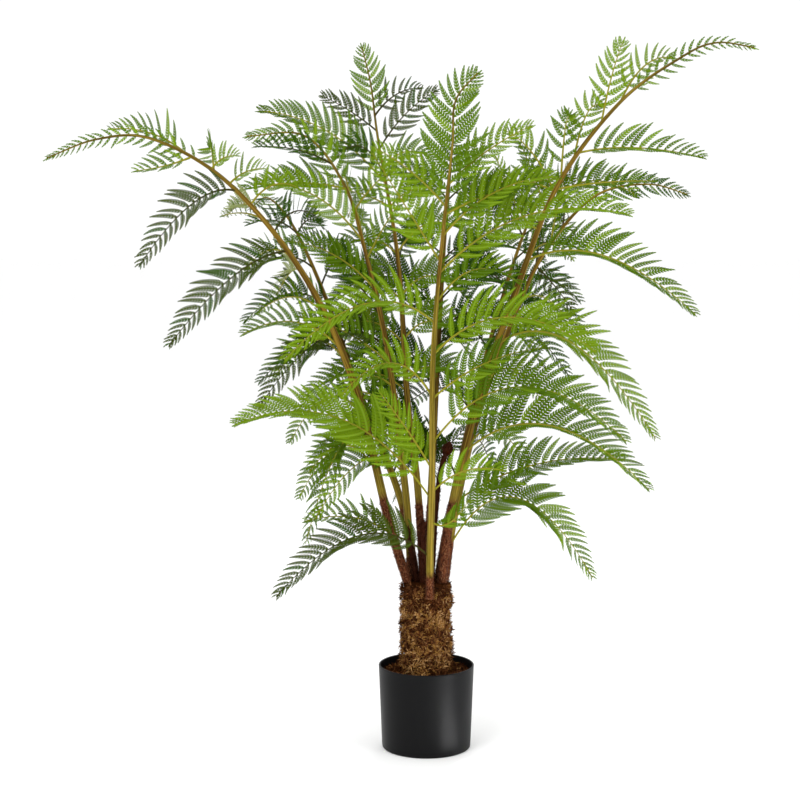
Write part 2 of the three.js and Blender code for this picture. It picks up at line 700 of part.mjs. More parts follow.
const fern = new THREE.Group();
const solids = [];

function addMesh(name, geometry, material) {
  const mesh = new THREE.Mesh(geometry, material);
  mesh.name = name;
  fern.add(mesh);
}

function addObstacle(node, solid, blade = null) {
  solids.push({ node, blade, solid, box: solid.boundingBox() });
}

addMesh('pot', makePot(), potMaterial);
addMesh('pot_fill', makeFill(), fillMaterial);
addMesh('trunk', makeTrunk(), coirMaterial);
addObstacle('trunk', toManifold(makeTrunk()));
SHOOTS.forEach((shoot) => {
  addMesh(shoot.name, makeShoot(shoot), shootMaterial);
  addObstacle(shoot.name, toManifold(makeShoot(shoot)));
});

// Stalks and bare ribs are settled first, and the leaflets then keep clear of all of them.
const nodes = new Map();
FRONDS.forEach((frond) => SPAN_NAMES.forEach((_, span) => {
  const tube = spanTube(frond, span);
  nodes.set(nodeName(frond, span), { parts: [tube], material: span === 0 ? footMaterial : leafMaterial });
  addObstacle(nodeName(frond, span), tube);
}));
const blades = [...placeBranches().map(branchBlade), ...FRONDS.map(endBlade)];
for (const blade of blades) {
  const { stations, firstLeaflet } = bladeStations(blade);
  blade.noLeaflets = stations.slice(firstLeaflet + 1).map(() => ({ 1: 0, [-1]: 0 }));
  addObstacle(blade.node, bladeSolid(blade, blade.noLeaflets), blade);
}
for (const blade of blades) {
  const { stations, firstLeaflet } = bladeStations(blade);
  const sizes = blade.noLeaflets.map((_, i) => {
    const from = stations[firstLeaflet + i];
    const to = stations[firstLeaflet + i + 1];
    return { 1: clearSize(blade, from, to, 1, solids), [-1]: clearSize(blade, from, to, -1, solids) };
  });
  const solid = bladeSolid(blade, sizes);
  addObstacle(blade.node, solid, blade);
  nodes.get(blade.node).parts.push(solid);
}
for (const [name, { parts, material }] of nodes) {
  const joined = wasm.Manifold.union(parts);
  const bodies = joined.decompose().sort((a, b) => b.volume() - a.volume());
  addMesh(name, toGeometry(bodies[0]), material);
}

export default fern;
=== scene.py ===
"""Potted artificial tree fern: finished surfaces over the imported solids, with its stage and camera."""

import math

import bpy
import numpy as np
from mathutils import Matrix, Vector


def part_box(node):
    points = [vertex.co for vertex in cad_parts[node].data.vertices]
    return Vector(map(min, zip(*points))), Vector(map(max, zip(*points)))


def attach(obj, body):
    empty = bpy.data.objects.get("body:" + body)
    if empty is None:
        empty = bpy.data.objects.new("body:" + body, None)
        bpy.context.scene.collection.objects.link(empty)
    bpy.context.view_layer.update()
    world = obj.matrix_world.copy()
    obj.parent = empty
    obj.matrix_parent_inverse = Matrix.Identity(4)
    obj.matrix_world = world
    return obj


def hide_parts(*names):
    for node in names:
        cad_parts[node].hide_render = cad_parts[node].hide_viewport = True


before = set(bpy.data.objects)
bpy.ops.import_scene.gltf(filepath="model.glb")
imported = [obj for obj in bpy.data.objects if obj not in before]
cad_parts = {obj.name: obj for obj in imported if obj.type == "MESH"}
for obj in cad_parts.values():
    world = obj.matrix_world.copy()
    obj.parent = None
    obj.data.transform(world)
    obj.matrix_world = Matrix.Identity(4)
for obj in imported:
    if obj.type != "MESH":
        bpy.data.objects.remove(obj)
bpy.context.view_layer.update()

bl_info = {
    "name": "Potted tree fern",
    "version": (1, 0, 0),
    "blender": (4, 5, 0),
    "location": "3D View > Sidebar > Tree fern",
    "description": "Builds an artificial tree fern in its pot, with its stage and camera",
    "category": "Add Mesh",
}

# Metres in a millimetre, the way up, the way that a stem's first corner faces, and the turn from one tuft
# of the trunk to the next
MM = 0.001
UP = np.array((0.0, 0.0, 1.0))
STEM_SIDE = (1.0, 0.2, 0.0)
GOLDEN_ANGLE = math.pi * (3 - math.sqrt(5))

# The lengths of a frond, each a solid of its own
SPANS = ("foot", "lower", "middle", "upper")

# Rules that the solids are grown by, in millimetres and shares, down to the rows of branches.
# A stalk: its tip's radius, the power of its taper, and the room on each side of a parting
STALK_TIP_RADIUS = 1.0
STALK_TAPER = 1.3
STALK_SAMPLES = 160
CUT_BEFORE = 20
CUT_AFTER = 5

# A side branch: the radii of its rib, how much thicker the finished rib is, and how far out it arches
RIB_RADIUS = 1.5
RIB_TIP_RADIUS = 0.45
RIB_SWELL = 1.3
ARCH_PLACE = 0.42

# The way that a blade faces: how much it leans away from its stalk and turns outward
BLADE_LEAN = 1.4
BLADE_OUTWARD = 0.7
AWAY_OUTWARD = 0.5

# The leaflets of a blade: how far they are raised, how long they are, and how they grow and narrow
LEAFLET_LIFT = math.radians(45)
LEAFLET_BASE_LENGTH = 30
LEAFLET_SHARE = 0.18
LEAFLET_TIP_LENGTH = 5
LEAFLET_ROOT_SHARE = 0.62
LEAFLET_FULL_AT = 0.22
BLADE_NARROWS = 0.55
BARE_STEM = 0.1

# How far a branch keeps from ribs, stalks and shoots, at how many samples that is measured and how many of
# them at its root are left out, and the steps of lift in millimetres and of swing in degrees that it tries
RIB_CLEARANCE = 8
STALK_CLEARANCE = 11
SHOOT_CLEARANCE = 14
RIB_SAMPLES = 24
ROOT_SAMPLES = 2
LIFT_STEP = 14
SWING_STEP = 7
SEARCH_STEPS = 4

# A row of branches: which way they reach, and how they rise, arch and shorten from first to last
ROW_OUTWARD = 0.5
ROW_SIDEWAYS = 0.8
ROW_LOW_RISE = -0.3
ROW_RISE_GAIN = 0.5
ROW_RISE_SPREAD = 0.3
ROW_LOW_ARCH = 0.3
ROW_ARCH_LOSS = 0.12
ROW_SHORTENING = 0.42
ROW_LENGTH_SPREAD = 0.2

# Rows of finished leaflets: the fewest and most to a side, how far the sides are staggered, the room at
# the end, the power by which they crowd towards it, and how much more they lean on there, in radians
LEAFLET_COUNTS = (7, 30)
STAGGER = 0.12
ROOM_AT_END = 0.6
CROWDING = 1.45
LEAN_GAIN = 0.28

# The leaflet at a blade's end: where it starts, and its length as a share of the blade's and more
END_LEAFLET_AT = 0.93
END_LEAFLET_SHARE = 0.07
END_LEAFLET_LENGTH = 9

# Leaflets on a side that points further down than this keep this share of their length
HANGING_BELOW = -0.25
HANGING_LENGTH = 0.84

# The form of a leaflet: its half width, its turn and fold in radians, and its droop and sag in lengths
HALF_WIDTH = 0.8
HALF_WIDTH_SHARE = 0.097
LEAFLET_TURN = 0.42
LEAFLET_FOLD = 0.3
LEAFLET_DROOP = 0.08
LEAFLET_SAG = 0.04

# How much single leaflets differ, and the share of them that is one green fresher than their blade
SPREAD = dict(lean=0.05, roll=0.16, length=0.04, turn=0.1, droop=0.04, fold=0.08)
FRESHER_SHARE = 0.14

# The teeth of a leaflet, in its lengths: where they start and how much they take up. Of its pitch, a tooth
# takes the one share and leans on by the other. A corner is (leans on, half widths out)
COMB_START = 0.02
COMB_SPAN = 0.93
TOOTH_SHARE = 0.8
TOOTH_LEAN = 0.62
TOOTH_FRONT = (0.75, 0.86)
TOOTH_POINT = (1.15, 1.0)
TOOTH_BACK = (0.62, 0.8)

# Greens of the leaflets, in the order of the palette, and how much they shine. The greens are partly the
# fronds' own and partly painted light: the fresh green is painted light on lit leaflets, the deep and olive
# greens are painted shade on shaded and hanging ones, and the pale green is a painted glow of backlit ones
LIT_FRESH, LEAF, SHADED_DEEP, SHADED_OLIVE, BACKLIT_PALE = range(5)
LEAF_GLOSS = 0.005

# The pot, in millimetres: the rounding of its base edge, the ring that it stands on, how far and over what
# slope its base is raised inside the ring, and how wide the rounded corner at its floor is
POT_EDGE = 3.5
POT_RING = 12
POT_RAISE = 1.0
POT_SLOPE = 2
POT_CORNER = 8
POT_SIDES = 128

# The fill, in millimetres: its gap to the wall, how much narrower its foot is, its innermost ring, and how
# high and how long its lumps are
FILL_GAP = 0.2
FILL_TAPER = 5.6
FILL_MIDDLE = 4
FILL_LUMP = 2.4
FILL_LUMP_LENGTH = 10
FILL_RINGS = 26
FILL_SIDES = 140

# Tufts on the fill: where they start from the axis, the share of its area where they end, their heights
# about its top, their tilt, and the share of each tone
FILL_TUFTS_FROM = 44
FILL_TUFTS_TO = 0.86
FILL_TUFT_HEIGHTS = (-3, 2)
FILL_TUFT_TILT = 0.25
FILL_TONES = (0.76, 0.17, 0.04, 0.03)

# The trunk, in millimetres: its radius, how high and how long its lumps are, and how far its top edge is
# cut in and down
TRUNK_RADIUS = 40.5
TRUNK_LUMP = 3
TRUNK_LUMP_LENGTH = 12
TRUNK_CUT_IN = 5
TRUNK_CUT_DOWN = 3
TRUNK_RINGS = 60
TRUNK_SIDES = 120

# Tufts on the trunk: how far one is moved round, in radians, and up, how deep it sits, its tilt, where its
# tone changes with the patch that it stands in, and how much darker the top is, over which heights below it
TUFT_SHIFT_ROUND = 0.06
TUFT_SHIFT_UP = 2
TUFT_DEPTH = 3
TUFT_TILT = 0.3
PATCH_SPREAD = 0.3
PATCH_TONES = (-0.3, 0.12, 0.5)
TOP_DARKER = 0.5
TOP_DARK_FROM = 30
TOP_DARK_AT = 5

# Clumps of moss on the trunk: how many, how far they stand out and how wide they are, in millimetres
CLUMPS = 70
CLUMP_STAND = 7
CLUMP_SPREAD = 10

# Fibres of a tuft: how far they rise from its plane, their lengths and widths as shares of the settings,
# how they curl, droop and twist, and the tones that they are off the tuft's
FIBRE_RISE = (0.1, 1.3)
FIBRE_LENGTHS = (0.5, 1.1)
FIBRE_WIDTHS = (0.7, 1.3)
FIBRE_CURL = 0.3
FIBRE_DROOP = 0.2
FIBRE_TWIST = 0.5
FIBRE_TONES = (-1, 0, 0, 0, 0, 0, 1)

# Hairs of the fur: where they are rooted, as a share of the stem's radius, how far they lie along it, stand
# off it and spread, their lengths as shares of the fur's, their width in millimetres and their curl
HAIR_ROOT = 0.96
HAIR_ALONG = 0.8
HAIR_STAND = (0.25, 0.8)
HAIR_SPREAD = 0.25
HAIR_LENGTHS = (0.6, 1.2)
HAIR_WIDTH = 1.1
HAIR_CURL = 0.1

# Where a stalk's colours change after its fur and after its yellow-green, and where its end turns olive
FUR_FADES = 0.015
FLECKS_FADE = 0.03
YELLOW_FADES_FROM = 0.02
YELLOW_FADES_TO = 0.07
OLIVE_FROM = 0.65
OLIVE_AT = 0.9

# Seeds of the random draws. Where a piece is one of several, its number is added
SEEDS = dict(
    fill_lumps=3, fill_tufts=11, trunk_lumps=5, trunk_tufts=17, trunk_patches=9,
    shoot_skin=20, shoot_fur=30, stalk_fur=50, hair_tones=70, leaflets=100,
)

# Each frond: the points of its stalk, its heading in degrees from +X towards +Y, its foot's radius, the
# shares where it is parted, the way its end faces, where its end blade starts and how long the leaflets
# are there. A branch is (share of the stalk where it leaves, reach right, reach back, reach up, height
# of its arch, its green). A row is (side, count, first share, last share, length). The green of a branch,
# and of a frond's rows and end blade, is partly painted light: fresh where its leaflets are lit, deep or
# olive as painted shade where they are shaded or hang, pale as a painted glow where they are backlit.
FRONDS = (
    dict(
        name="front", heading=274, foot=6.5, cuts=(0.055, 0.34, 0.62), face=(0, -1, 0.2), end=(0.77, 1.25),
        stalk=((5, -50, 278), (5, -56, 356), (8, -75, 478), (8, -130, 698), (20, -200, 886),
               (35, -275, 1049), (39, -305, 1119), (72, -328, 1160)),
        branches=(
            (0.08, -265, -45, -60, 70, SHADED_OLIVE), (0.19, -335, -30, 135, 80, LIT_FRESH),
            (0.25, -90, -60, 140, 5, LIT_FRESH), (0.39, -150, -70, 10, 55, LIT_FRESH),
            (0.53, -245, -80, -55, 60, LIT_FRESH), (0.647, -110, -20, 175, 0, LIT_FRESH),
            (0.75, -115, 10, 95, 10, LIT_FRESH), (0.15, 65, -40, 45, 20, LEAF),
            (0.205, 120, -50, 45, 20, LIT_FRESH), (0.3, 325, -50, 10, 95, LEAF),
            (0.385, 190, -30, 90, 20, LEAF), (0.47, 265, -70, 10, 60, LIT_FRESH),
            (0.57, 140, 30, 30, 40, LEAF), (0.61, 305, -40, 95, 50, LIT_FRESH), (0.695, 175, -30, 95, 25, LIT_FRESH),
            (0.79, 130, -20, 92, 10, LIT_FRESH), (0.735, 190, 20, 60, 10, LEAF),
        ),
        rows=(), green=LEAF,
    ),
    dict(
        name="left", heading=188, foot=8, cuts=(0.14, 0.36, 0.62), face=(0, -1, 0.4), end=(0.76, 0.45),
        stalk=((-34, -8, 300.3), (-66, -15, 407), (-128, -40, 658), (-215, -60, 849), (-338, -80, 1000),
               (-461, -95, 1072), (-553, -100, 1072), (-639, -100, 1041)),
        branches=(
            (0.78, -145, 50, 45, 15, LEAF), (0.77, -90, -35, -25, 10, LEAF),
            (0.685, -150, -110, -125, 35, SHADED_OLIVE), (0.565, -190, -110, -155, 30, SHADED_OLIVE),
            (0.228, -115, -10, -170, 80, LEAF), (0.08, -150, -60, 35, 20, LEAF),
            (0.645, -60, 120, -10, 15, BACKLIT_PALE), (0.53, -50, 130, -50, 15, BACKLIT_PALE),
            (0.73, -20, 110, 40, 20, LEAF), (0.735, 45, -20, 22, 8, LIT_FRESH),
            (0.7, 62, -30, 25, 8, LIT_FRESH), (0.655, 80, 30, 30, 20, LIT_FRESH), (0.6, 70, 120, 25, 25, SHADED_DEEP),
            (0.39, -165, -50, 30, 35, LEAF),
        ),
        rows=((-1, 6, 0.18, 0.62, 240),), green=LEAF,
    ),
    dict(
        name="left_inner", heading=158, foot=7, cuts=(0.09, 0.36, 0.64), face=(0, -1, 0.6), end=(0.77, 0.9),
        stalk=((-27, 14, 300.3), (-38, 27, 463), (-72, 60, 718), (-112, 90, 892), (-148, 110, 1003),
               (-219, 125, 1090), (-324, 130, 1090)),
        branches=(
            (0.81, -135, -40, 30, 25, SHADED_DEEP), (0.755, -195, 60, 0, 12, LEAF),
            (0.65, -185, -60, 100, 35, LIT_FRESH), (0.71, 75, -50, 75, 10, LEAF),
            (0.615, 65, -60, 110, 5, LEAF), (0.555, -155, 60, 85, 20, LEAF),
            (0.5, -150, 90, 150, 20, SHADED_DEEP), (0.44, -220, -120, -95, 70, SHADED_OLIVE),
            (0.41, -155, -100, 90, 15, LEAF),
        ),
        rows=((1, 4, 0.2, 0.36, 200), (-1, 6, 0.28, 0.74, 230)), green=LEAF,
    ),
    dict(
        name="back_tall", heading=102, foot=7, cuts=(0.14, 0.42, 0.68), face=(0, 1, 0.2), end=(0.87, 1.1),
        stalk=((-5, 15, 300.3), (-16, 45, 466), (-34, 90, 618), (-51, 170, 868), (-88, 240, 1089),
               (-102, 270, 1193), (-119, 285, 1265)),
        branches=(
            (0.835, -105, 60, 70, 5, SHADED_OLIVE), (0.865, 85, 40, 55, 15, SHADED_OLIVE),
            (0.8, 105, -20, 105, 15, SHADED_OLIVE), (0.73, -235, 0, 135, 35, LEAF),
            (0.745, -90, -60, 30, 40, SHADED_DEEP), (0.58, 25, 120, 75, 5, SHADED_DEEP),
        ),
        rows=((1, 6, 0.25, 0.68, 190), (-1, 6, 0.35, 0.76, 230)), green=LEAF,
    ),
    dict(
        name="right", heading=352, foot=8, cuts=(0.13, 0.36, 0.62), face=(0, -1, 0.4), end=(0.81, 0.45),
        stalk=((27, -14, 300.3), (42, -24, 428), (85, -45, 615), (154, -70, 826), (220, -95, 999),
               (319, -115, 1132), (417, -130, 1204), (473, -136, 1227), (535, -140, 1219)),
        branches=(
            (0.745, 35, 5, 133, 0, LIT_FRESH), (0.785, 90, 30, 75, 12, LIT_FRESH),
            (0.69, 200, -60, -10, 12, LEAF), (0.645, 12, 0, 105, 0, LEAF), (0.68, 45, 0, 88, 5, LIT_FRESH),
            (0.628, 170, 20, 15, 5, LEAF), (0.515, 285, -20, -90, 50, LEAF),
            (0.38, 275, -10, -160, 80, LIT_FRESH), (0.207, 320, -30, -60, 78, LEAF),
            (0.57, -120, -110, 40, 20, SHADED_DEEP), (0.62, -110, 30, 12, 12, LEAF),
            (0.565, -75, -50, 120, 5, LIT_FRESH), (0.61, -80, 50, 105, 5, LEAF),
            (0.595, -40, 60, 115, 5, LEAF), (0.6, 160, 60, 20, 35, LEAF),
        ),
        rows=((1, 5, 0.2, 0.62, 190),), green=LEAF,
    ),
    dict(
        name="right_inner", heading=22, foot=7, cuts=(0.04, 0.36, 0.62), face=(0, -1, 0.6), end=(0.8, 0.9),
        stalk=((33, 10, 300.3), (50, 24, 413), (95, 60, 597), (176, 110, 804), (232, 140, 903),
               (314, 165, 985), (410, 180, 1005), (484, 190, 987)),
        branches=(
            (0.06, 255, -20, -50, 115, LEAF), (0.15, 290, -40, 80, 30, LEAF),
            (0.61, 70, 40, -80, 5, SHADED_OLIVE), (0.68, 20, -70, 120, 10, LEAF),
        ),
        rows=((1, 6, 0.2, 0.72, 240),), green=SHADED_DEEP,
    ),
    dict(
        name="rear_left", heading=128, foot=7, cuts=(0.14, 0.4, 0.66), face=(-0.4, 0.6, 0.5),
        end=(0.82, 0.9),
        stalk=((-18, 29, 300.3), (-48, 78, 440), (-120, 140, 620), (-190, 240, 800), (-255, 340, 930),
               (-310, 430, 985), (-350, 500, 965)),
        branches=(), rows=((1, 4, 0.46, 0.76, 170), (-1, 5, 0.2, 0.76, 250)), green=SHADED_DEEP,
    ),
    dict(
        name="rear", heading=84, foot=7, cuts=(0.14, 0.4, 0.66), face=(0, 0.8, 0.5), end=(0.82, 0.9),
        stalk=((2, 34, 300.3), (10, 92, 460), (22, 180, 670), (36, 290, 870), (50, 390, 1015),
               (58, 470, 1095), (64, 545, 1120)),
        branches=(
            (0.62, 70, -60, 30, 15, SHADED_DEEP), (0.2, -70, 50, 40, 15, SHADED_DEEP), (0.24, 60, 60, 30, 15, SHADED_DEEP),
            (0.36, -75, -60, 20, 15, SHADED_DEEP), (0.44, 60, -60, 10, 15, SHADED_DEEP), (0.5, -70, -60, 20, 12, SHADED_DEEP),
        ),
        rows=((1, 5, 0.24, 0.76, 290), (-1, 5, 0.46, 0.76, 240)), green=SHADED_DEEP,
    ),
    dict(
        name="rear_right", heading=60, foot=7, cuts=(0.14, 0.4, 0.66), face=(0.4, 0.6, 0.5), end=(0.82, 0.9),
        stalk=((21, 27, 300.3), (50, 80, 440), (95, 160, 620), (150, 260, 800), (200, 350, 930),
               (245, 430, 1005), (280, 495, 1015)),
        branches=(), rows=((1, 5, 0.2, 0.76, 260), (-1, 5, 0.5, 0.76, 180)), green=SHADED_DEEP,
    ),
)

# How far up a stalk, as shares of its length, its fur and then its yellow-green reach, on the stalks that
# show and on the others
STALK_BANDS = dict(
    front=(0.04, 0.55), left_inner=(0.04, 0.24), left=(0.14, 0.14), right=(0.125, 0.125),
    right_inner=(0.07, 0.2),
)
OTHER_BANDS = (0.13, 0.16)

# The fur of a stalk's foot: hairs to a millimetre, their length, and the hair tones that they are drawn
# from. The stalk's grooves: how many, how deep, and how uneven the stalk is, as shares of its radius
FOOT_HAIRS = 22
FOOT_HAIR_LENGTH = 3.6
HAIR_TONES = (1, 2, 2, 3)
GROOVES = 5
GROOVE_DEPTH = 0.05
UNEVEN = 0.03
STALK_RINGS = 150
STALK_SIDES = 20

# A furled shoot: how much its stem narrows, its knob's length in knob radii, where on half a sine wave the
# knob starts and how much of the wave it takes, how rough its skin is and in how many waves, and its fur
SHOOT_TAPER = 0.2
KNOB_LENGTH = 2.4
KNOB_WAVE_FROM = 0.16
KNOB_WAVE_SPAN = 0.79
SHOOT_ROUGH = 0.35
SHOOT_WAVES = 14
SHOOT_HAIRS = 900
SHOOT_HAIR_LENGTH = 7.0
SHOOT_FURRED = (0.02, 0.99)
SHOOT_RINGS = 60
SHOOT_SIDES = 24

# Furled shoots: the points of the stem, the stem's radius and the knob's radius
SHOOTS = (
    dict(
        name="shoot_tall", radius=5, knob=10,
        stem=((9, 3, 300.3), (17, 7, 430), (26, 10, 500), (42, 10, 548)),
    ),
    dict(
        name="shoot_small", radius=4.5, knob=7,
        stem=((-17, -3, 300.3), (-25, -2, 345), (-36, 1, 398)),
    ),
    dict(
        name="shoot_short", radius=6, knob=7,
        stem=((-6, -14, 300.3), (-8, -16, 360), (-6, -17, 412)),
    ),
)

# The stage, in metres: the floor's reach, what the lamps look at, each lamp as (name, place, width, the
# setting of its power), the upright strip by the pot, and the camera
FLOOR_REACH = 60.0
LAMP_AIM = (0, 0, 0.75)
LAMPS = (
    ("key", (-1.6, -2.4, 2.9), 1.6, "key"),
    ("side", (2.4, -1.8, 1.6), 1.4, "fill"),
    ("back", (0.6, 2.6, 2.8), 1.6, "fill"),
)
STRIP_PLACE = (0.27, -0.27, 0.12)
STRIP_WIDTH = 0.07
STRIP_DEPTH = 0.5
STRIP_TURN = math.radians(-135)
STRIP_SPREAD = math.radians(30)
CAMERA_PLACE = (-0.047, -2.976, 0.915)
SENSOR_WIDTH = 36


def unit(vectors):
    """Vectors divided by their own lengths."""
    return vectors / np.linalg.norm(vectors, axis=-1, keepdims=True)


def square_to(vectors, along):
    """Unit vectors left when each vector's part along the unit vector `along` is taken away."""
    return unit(vectors - along * (vectors * along).sum(-1, keepdims=True))


def smoothstep(x, low, high):
    """0 below low, 1 above high, and the cubic 3t^2 - 2t^3 between."""
    t = np.clip((x - low) / (high - low), 0, 1)
    return t * t * (3 - 2 * t)


def whole_turn(count):
    """Angles in even steps round one whole turn."""
    return np.linspace(0, 2 * np.pi, count, endpoint=False)


def linear(red, green, blue):
    """Screen colour from 0 to 255 as linear light, with opacity 1."""
    parts = np.array((red, green, blue)) / 255
    light = np.where(parts <= 0.04045, parts / 12.92, ((parts + 0.055) / 1.055) ** 2.4)
    return (*light.tolist(), 1.0)


# Lines of the stalks and branches


def smooth_line(points):
    """Catmull-Rom curve through the points, tangents half the span between neighbours and the end spans
    carried on straight. Gives the sampled points and the running length."""
    p = np.asarray(points, float)
    p = np.vstack([2 * p[0] - p[1], p, 2 * p[-1] - p[-2]])
    t = np.linspace(0, len(points) - 1, STALK_SAMPLES + 1)
    i = np.minimum(t.astype(int), len(points) - 2)
    w = (t - i)[:, None]
    before, start, stop, after = p[i], p[i + 1], p[i + 2], p[i + 3]
    leave, arrive = (stop - before) / 2, (after - start) / 2
    curve = (
        start
        + leave * w
        + (3 * (stop - start) - 2 * leave - arrive) * w**2
        + (2 * (start - stop) + leave + arrive) * w**3
    )
    steps = np.linalg.norm(np.diff(curve, axis=0), axis=1)
    return curve, np.concatenate([[0], np.cumsum(steps)])


def point_at(line, share):
    """Point at each share of a line's length, straight between its samples."""
    curve, lengths = line
    wanted = np.clip(share, 0, 1) * lengths[-1]
    return np.stack([np.interp(wanted, lengths, curve[:, k]) for k in range(3)], axis=-1)


def direction_at(line, share):
    """Unit vector between the points one hundredth of the length before and after."""
    share = np.asarray(share, float)
    return unit(point_at(line, share + 0.01) - point_at(line, share - 0.01))


def branch_point(branch, u):
    """Quadratic arch: root + 2u(1-u) (0.42 reach + up twice the arch) + u^2 reach."""
    u = np.asarray(u, float)[..., None]
    middle = branch["reach"] * ARCH_PLACE + UP * 2 * branch["arch"]
    return branch["root"] + middle * 2 * u * (1 - u) + branch["reach"] * u * u


def branch_direction(branch, u):
    """Unit vector between the points a fiftieth of the branch before and after."""
    u = np.asarray(u, float)
    ahead = branch_point(branch, np.minimum(u + 0.02, 1))
    return unit(ahead - branch_point(branch, np.maximum(u - 0.02, 0)))


def line_gap(points, others):
    """Shortest distance from any of the points to the segments that join the others."""
    start, span = others[:-1], np.diff(others, axis=0)
    away = points[:, None] - start[None]
    t = np.clip((away * span).sum(-1) / (span * span).sum(-1), 0, 1)
    return np.linalg.norm(away - span * t[..., None], axis=-1).min()


def outward(frond):
    """Level unit vector along the frond's heading."""
    angle = math.radians(frond["heading"])
    return np.array((math.cos(angle), math.sin(angle), 0.0))


def scatter(a, b):
    """A repeatable number from 0 to 1, the fraction of a large sine."""
    value = math.sin(a * 12.9898 + b * 78.233) * 43758.5453
    return value - math.floor(value)


def given_branches(frond):
    """The frond's branches that are written out in its table."""
    return [
        dict(share=share, reach=np.array((right, back, up), float), arch=arch, green=green)
        for share, right, back, up, arch, green in frond["branches"]
    ]


def ruled_branches(frond, index):
    """Branches in rows: each reaches out and sideways, rises more and shortens towards the stalk's end."""
    found = []
    across = np.cross(UP, outward(frond))
    for row, (side, count, first, last, longest) in enumerate(frond["rows"]):
        for k in range(count):
            part = k / (count - 1)
            chance = scatter(index + 1, 7 * row + k + 1) - 0.5
            length = longest * (1 - ROW_SHORTENING * part * part) * (1 + ROW_LENGTH_SPREAD * chance)
            rise = ROW_LOW_RISE + ROW_RISE_GAIN * part + ROW_RISE_SPREAD * chance
            reach = unit(outward(frond) * ROW_OUTWARD + across * side * ROW_SIDEWAYS + UP * rise) * length
            share = first + (last - first) * part
            arch = length * (ROW_LOW_ARCH - ROW_ARCH_LOSS * part)
            found.append(dict(share=share, reach=reach, arch=arch, green=frond["green"]))
    return found


def search_moves():
    """Lifts and swings in order of size, the smallest first."""
    steps = range(-SEARCH_STEPS, SEARCH_STEPS + 1)
    return sorted(
        (abs(lift) + abs(swing), lift * LIFT_STEP, swing * SWING_STEP) for lift in steps for swing in steps
    )


def turned_about_up(vector, degrees):
    """The vector turned about +Z."""
    c, s = math.cos(math.radians(degrees)), math.sin(math.radians(degrees))
    return np.array((c * vector[0] - s * vector[1], s * vector[0] + c * vector[1], vector[2]))


def clear_of_cuts(frond, share):
    """A share just before a place where the stalk is parted moves just past it."""
    length = frond["line"][1][-1]
    for cut in frond["cuts"]:
        if cut * length - CUT_BEFORE < share * length < cut * length + CUT_AFTER:
            return cut + CUT_AFTER / length
    return share


def is_clear(branch, stalks, shoots, placed):
    """Whether the branch keeps its distance from every stalk, shoot and branch placed so far."""
    free = branch["points"][ROOT_SAMPLES:]
    for i, line in enumerate(stalks):
        own = i == branch["index"]
        if line_gap(free[ROOT_SAMPLES:] if own else free, line) <= STALK_CLEARANCE:
            return False
    if any(line_gap(free, line) <= SHOOT_CLEARANCE for line in shoots):
        return False
    for other in placed:
        own = other["index"] == branch["index"]
        line = other["points"][ROOT_SAMPLES:] if own else other["points"]
        if line_gap(free, line) <= RIB_CLEARANCE:
            return False
    return True


def place_branches():
    """Every branch of every frond, the written ones first, each with the smallest lift and swing that
    keeps it clear of what was placed before."""
    samples = np.linspace(0, 1, RIB_SAMPLES + 1)
    stalks = [point_at(frond["line"], samples) for frond in FRONDS]
    shoots = [point_at(shoot["line"], samples[::2]) for shoot in SHOOTS]
    given = [given_branches(frond) for frond in FRONDS]
    ruled = [ruled_branches(frond, index) for index, frond in enumerate(FRONDS)]
    wanted = [
        dict(branch, frond=FRONDS[index], index=index)
        for found in (given, ruled)
        for index, branches in enumerate(found)
        for branch in branches
    ]
    placed = []
    for branch in wanted:
        share = clear_of_cuts(branch["frond"], branch["share"])
        root = point_at(branch["frond"]["line"], share)
        for _, lift, swing in search_moves():
            reach = turned_about_up(branch["reach"], swing)
            trial = dict(branch, root=root, reach=reach, arch=branch["arch"] + lift)
            trial["points"] = branch_point(trial, samples)
            if is_clear(trial, stalks, shoots, placed):
                placed.append(trial)
                break
    return placed


for part in (*FRONDS, *SHOOTS):
    part["line"] = smooth_line(part.get("stalk") or part.get("stem"))
BRANCHES = place_branches()


def stalk_radius(frond, share):
    """Foot radius at the foot, falling with the share to the power 1.3 to 1 mm at the tip."""
    return STALK_TIP_RADIUS + (frond["foot"] - STALK_TIP_RADIUS) * (1 - share**STALK_TAPER)


def branch_blade(branch):
    """A side branch's blade: it opens upward and outward, leaning away from the stalk."""
    frond = branch["frond"]
    across = np.cross(UP, outward(frond))
    side = math.copysign(1, float(branch["reach"] @ across))
    face = unit(np.cross(branch["reach"], UP))
    if face @ (across * side + outward(frond) * AWAY_OUTWARD) < 0:
        face = -face
    points = branch["points"]
    reach = unit(branch["reach"] * (1, 1, 0))
    return dict(
        green=branch["green"], scale=1.0, bare=BARE_STEM, lift=LEAFLET_LIFT,
        face=UP + reach * BLADE_OUTWARD + face * BLADE_LEAN,
        length=np.linalg.norm(np.diff(points, axis=0), axis=1).sum(),
        point=lambda u: branch_point(branch, u),
        direction=lambda u: branch_direction(branch, u),
    )


def end_blade(frond):
    """The blade that a stalk's end carries."""
    start, scale = frond["end"]
    line = frond["line"]
    return dict(
        green=frond["green"], scale=scale, bare=0.0, lift=0.0, face=np.array(frond["face"], float),
        length=line[1][-1] * (1 - start),
        point=lambda u: point_at(line, start + (1 - start) * np.asarray(u, float)),
        direction=lambda u: direction_at(line, start + (1 - start) * np.asarray(u, float)),
    )


def frond_nodes(frond, spans):
    """Names of the frond's solids."""
    return [f"frond_{frond['name']}_{span}" for span in spans]


def side_blades(frond):
    """The blades of a frond's placed side branches."""
    return [branch_blade(branch) for branch in BRANCHES if branch["frond"] is frond]


# Meshes


